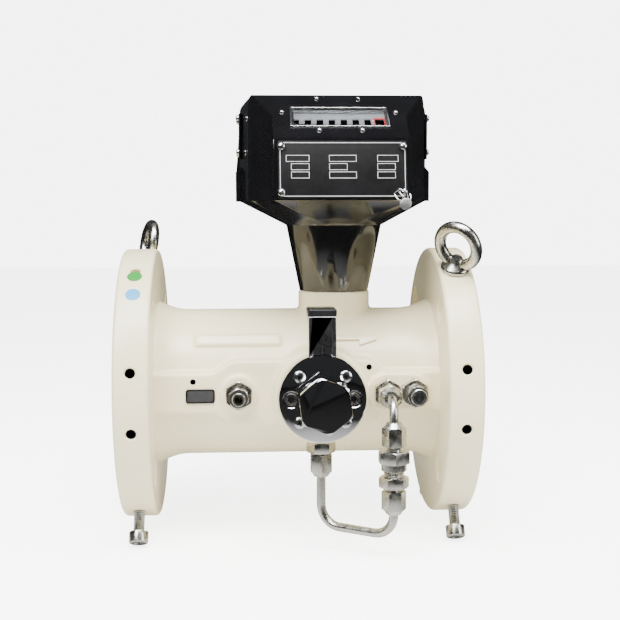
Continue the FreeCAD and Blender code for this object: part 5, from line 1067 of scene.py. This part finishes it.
class METER_OT_nameplate(bpy.types.Operator):
    """Bare nameplate with blank fields, its screws, the head's small screws and the wire seal"""

    bl_idname = "meter.nameplate"
    bl_label = "Nameplate and screws"

    def execute(self, context):
        to_panel = panel_matrix()
        to_slope = slope_matrix()
        mid = 19.6
        plate = block("plate", (-41.7, mid - 18.7, 1.0), (41.7, mid + 18.7, 2.2))
        rounded(plate, 0.25)
        finished(moved(plate, to_panel), "index_head", "anodised_plate", ["nameplate"])
        marks = []

        def outline(x0, x1, y0, y1, w=0.22):
            edge = block("edge", (x0, y0, 2.19), (x1, y1, 2.27))
            carved(edge, block("inner", (x0 + w, y0 + w, 2.0), (x1 - w, y1 - w, 3.0)))
            marks.append(edge)

        outline(-40.6, 40.6, mid - 17.6, mid + 17.6, 0.35)
        for y, ends in ((5.0, (-36.6, 8.9, 36.1)), (-0.4, (-33.4, 3.0, 34.2)), (-5.8, (-33.4, 8.9, 34.2))):
            for x0, x1 in ((ends[0], -21.6), (-8.8, ends[1]), (22.4, ends[2])):
                outline(x0, x1, mid + y, mid + y + 4.3, 0.28)
        finished(moved(joined("blank_fields", marks), to_panel), "index_head", "anodised_plate",
                 shade="plate_line")
        heads = []
        for dx in (-39.5, 39.5):
            for dy in (-15.0, 15.0):
                head = turned("plate_screw", [(-1.2, 1.25), (0, 1.25), (0, 2.7), (0.5, 2.7), (1.4, 2.3),
                                              (2.0, 1.4),
                                              (2.2, 0.5)], (dx, mid + dy, 2.2), Z, 32)
                carved(head, put(block("slot", (-3, -0.35, 1.3), (3, 0.35, 3)), (dx, mid + dy, 2.2), Z,
                                 math.degrees(dx * 0.05)))
                heads.append(head)
        screws = moved(joined("plate_screws", heads), to_panel)
        finished(screws, "index_head", "bright_steel", ["nameplate_screws"])
        small = [turned("small", [(0, 1.25), (0, 1.8), (0.4, 1.8), (1.0, 1.4), (1.3, 0.5)], (x, u, 0), sides=24)
                 for half, u in ((14.2, 50.2), (38.4, 33.2), (14.2, 11.6)) for x in (-half, half)]
        small = moved(joined("slope_screws", small), to_slope)
        finished(small, "index_head", "bright_steel", ["head_screws"])
        strands = (((181.4, -83.2, 133.6), (184.6, -85.2, 136.0), (188.6, -85.6, 134.4), (190.4, -85.4, 129.0)),
                   ((181.6, -83.2, 132.6), (183.2, -85.2, 129.4), (187.0, -85.6, 127.6)),
                   ((184.0, -83.6, 134.6), (186.8, -85.8, 131.0), (189.6, -85.8, 127.0)),
                   ((191.4, -83.2, 133.0), (192.0, -85.4, 130.0), (189.0, -85.6, 126.6)))
        wires = [piped("seal_wire", points, 0.4, 1.5) for points in strands]
        lead = turned("lead", [(-1.8, 3.0), (-1.4, 3.7), (1.4, 3.7), (1.8, 3.0)], (188.4, -85.2, 126.4), -Y, 32)
        finished(joined("seal_wire", wires), "index_head", "bright_steel")
        finished(lead, "index_head", "bright_steel", shade="lead")
        return {"FINISHED"}


class METER_OT_labels(bpy.types.Operator):
    """Bare label on the side pad, blank side plates and round stickers"""

    bl_idname = "meter.labels"
    bl_label = "Bare labels"

    def execute(self, context):
        h = context.scene.meter_housing
        rim = wrapped("label_rim", [rod("corner", 1.8, 1.1, (x, -57.9, z), -Y, 24)
                                    for x in (46.55, 62.45) for z in (-4.45, 1.45)])
        finished(rim, "meter", "anodised_plate", shade="dark_plastic")
        face = wrapped("label_face", [rod("corner", 1.2, 0.3, (x, -58.9, z), -Y, 24)
                                      for x in (47.1, 61.9) for z in (-3.9, 0.9)])
        finished(face, "meter", "anodised_plate", shade="label_grey")
        for side in (-1, 1):
            at_side = HEAD_X + side * HEAD_HALF
            plate = block("side_plate", (at_side - 0.6, 0.0, 159.0), (at_side + 0.6, 34.0, 191.0))
            rounded(plate, 0.3)
            name = "side_plate_left" if side < 0 else "side_plate_right"
            plate.name = name
            finished(plate, "index_head", "anodised_plate")
            heads = []
            for y in (3.5, 30.5):
                for z in (164.0, 188.0):
                    heads.append(turned("side_screw", [(0, 2.3), (0.8, 2.3), (1.6, 1.8), (2.0, 0.8)],
                                        (HEAD_X + side * 67.6, y, z), X * side, 24))
            finished(joined(name + "_screws", heads), "index_head", "bright_steel")
        r = h.flange_diameter / MM / 2
        for name, degrees, shade in (("green_sticker", 34.0, "green_dot"), ("blue_sticker", 44.5, "blue_dot")):
            dot = rod(name, 5.0, 6.0, (0, 0, -3.0), Z, 48)
            dot = moved(dot, radial(h.flange_thickness / MM / 2, degrees, -1, r))
            skin = turned("skin", [(1, r - 0.2), (22, r - 0.2), (22, r + 0.12), (1, r + 0.12)], (0, 0, 0), X,
                          256, True)
            carved(dot, skin, "INTERSECT")
            finished(dot, "meter", "cream_paint", shade=shade)
        return {"FINISHED"}


class METER_OT_inner_parts(bpy.types.Operator):
    """Smooth surfaces for the measuring insert, rotor, pump and check valve pieces and the magnetic barrier,
    and finishes for all nodes
    """

    bl_idname = "meter.inner_parts"
    bl_label = "Inner parts"

    def execute(self, context):
        slots = {s["node"]: s["material_slot"] for s in frame["record"]["subparts"]}
        owner = {n: b for b, ns in frame["record"]["behaviour"]["bodies"].items() for n in ns}
        for node, obj in frame["nodes"].items():
            obj.data.materials.clear()
            obj.data.materials.append(finishes[slots[node]])
        for node in ("flow_straightener", "retaining_ring", "insert_sleeve", "bearing_carrier", "tail_cone",
                     "rear_bearing_plate", "rotor_wheel", "rotor_shaft", "pump_plunger", "pump_cap_o_ring",
                     "check_valve_ball", "magnetic_barrier"):
            refined(node + "_surface", node, owner[node], slots[node])
        return {"FINISHED"}


class METER_OT_stage(bpy.types.Operator):
    """Pale floor, soft studio lights and camera"""

    bl_idname = "meter.stage"
    bl_label = "Studio"

    def execute(self, context):
        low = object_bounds()[0][2]
        bench()
        bpy.ops.mesh.primitive_plane_add(size=6.0, location=(0.12, 0.6, low))
        floor = called("studio_floor")
        paper = bpy.data.materials.new("Studio paper")
        paper.use_nodes = True
        tree = paper.node_tree
        shader = tree.nodes["Principled BSDF"]
        shader.inputs["Roughness"].default_value = 0.9
        shader.inputs["Specular IOR Level"].default_value = 0.0
        shader.inputs["Emission Color"].default_value = (4.5, 4.5, 4.5, 1)
        # seen in reflections, the floor is painted bright near the meter and dark further out: a painted
        # reflection
        seen = node_of(tree, "LightPath")
        shade = mixed(tree, A=(0.93, 0.93, 0.92))
        spot = node_of(tree, "NewGeometry")
        reach = node_of(tree, "VectorMath", "DISTANCE")
        reach.inputs[1].default_value = (0.12, 0.0, low)
        painted_reflection_fade = node_of(tree, "MapRange", From_Min=0.10, From_Max=0.32, To_Min=0.55, To_Max=0.01)
        wire(tree, (spot, "Position", reach, 0), (reach, "Value", painted_reflection_fade, "Value"), (painted_reflection_fade, "Result", shade, "B"),
             (seen, "Is Glossy Ray", shade, "Factor"), (seen, "Is Camera Ray", shader, "Emission Strength"),
             (shade, "Result", shader, "Base Color"))
        floor.data.materials.append(paper)
        floor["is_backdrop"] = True
        world = bpy.data.worlds.new("Studio")
        bpy.context.scene.world = world
        world.use_nodes = True
        tree = world.node_tree
        room = tree.nodes["Background"]
        room.inputs["Color"].default_value = (1, 0.995, 0.985, 1)
        room.inputs["Strength"].default_value = 0.7
        wall = node_of(tree, "Background", Strength=7.5)
        dark = node_of(tree, "Background", Color=(0.9, 0.95, 1.0, 1), Strength=0.04)
        seen = node_of(tree, "LightPath")
        for ray, cloth in (("Is Camera Ray", wall), ("Is Glossy Ray", dark)):
            mix = node_of(tree, "MixShader")
            wire(tree, (seen, ray, mix, "Fac"), (room, 0, mix, 1), (cloth, "Background", mix, 2))
            room = mix
        wire(tree, (room, 0, tree.nodes["World Output"], "Surface"))

        def light(name, place, aim, width, height, power):
            data = bpy.data.lights.new(name, "AREA")
            data.shape = "RECTANGLE"
            data.size = width
            data.size_y = height
            data.energy = power
            obj = bpy.data.objects.new(name, data)
            bpy.context.scene.collection.objects.link(obj)
            obj.location = place
            obj.rotation_euler = (Vector(aim) - Vector(place)).to_track_quat("-Z", "Y").to_euler()

        light("key_light", (-0.45, -0.75, 0.85), (0.12, 0, 0.05), 0.5, 0.5, 12.0)
        light("top_light", (0.12, -0.44, 1.0), (0.12, 0, 0.0), 0.9, 0.5, 36.0)
        light("right_light", (0.95, -0.55, 0.35), (0.12, 0, 0.05), 0.3, 0.7, 5.0)
        camera_data = bpy.data.cameras.new("Camera")
        camera_data.lens = 62.19
        camera_data.sensor_width = 36.0
        camera = bpy.data.objects.new("Camera", camera_data)
        bpy.context.scene.collection.objects.link(camera)
        camera.location = (0.08762, -0.77081, 0.12192)
        camera.rotation_euler = (math.radians(90.0 - 5.273), math.radians(0.178), math.radians(-3.288))
        bpy.context.scene.camera = camera
        return {"FINISHED"}


PIECES = (METER_OT_casting, METER_OT_flanges, METER_OT_lifting, METER_OT_pump, METER_OT_pipework, METER_OT_head,
          METER_OT_counter, METER_OT_nameplate, METER_OT_labels, METER_OT_inner_parts, METER_OT_stage)


class METER_PT_pieces(bpy.types.Panel):
    """Sizes, colours and pieces of the gas meter"""

    bl_idname = "METER_PT_pieces"
    bl_label = "Turbine gas meter"
    bl_space_type = "VIEW_3D"
    bl_region_type = "UI"
    bl_category = "Gas Meter"

    def draw(self, context):
        scene = context.scene
        for group in (scene.meter_housing, scene.meter_pump, scene.meter_head, scene.meter_colours):
            box = self.layout.box()
            for name in group.bl_rna.properties.keys():
                if name not in ("rna_type", "name"):
                    box.prop(group, name)
        for piece in PIECES:
            self.layout.operator(piece.bl_idname)


GROUPS = (("meter_housing", MeterHousingSizes), ("meter_pump", MeterPumpSizes), ("meter_head", MeterHeadSizes),
          ("meter_colours", MeterFinishColours))


def register():
    for name, group in GROUPS:
        bpy.utils.register_class(group)
        setattr(bpy.types.Scene, name, bpy.props.PointerProperty(type=group))
    for piece in PIECES:
        bpy.utils.register_class(piece)
    bpy.utils.register_class(METER_PT_pieces)


def unregister():
    bpy.utils.unregister_class(METER_PT_pieces)
    for piece in reversed(PIECES):
        bpy.utils.unregister_class(piece)
    for name, group in reversed(GROUPS):
        delattr(bpy.types.Scene, name)
        bpy.utils.unregister_class(group)


def main():
    register()
    make_finishes(bpy.context.scene.meter_colours)
    bpy.ops.meter.casting()
    bpy.ops.meter.flanges()
    bpy.ops.meter.lifting()
    bpy.ops.meter.pump()
    bpy.ops.meter.pipework()
    bpy.ops.meter.head()
    bpy.ops.meter.counter()
    bpy.ops.meter.nameplate()
    bpy.ops.meter.labels()
    bpy.ops.meter.inner_parts()
    bpy.ops.meter.stage()
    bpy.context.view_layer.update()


if __name__ == "__main__":
    main()
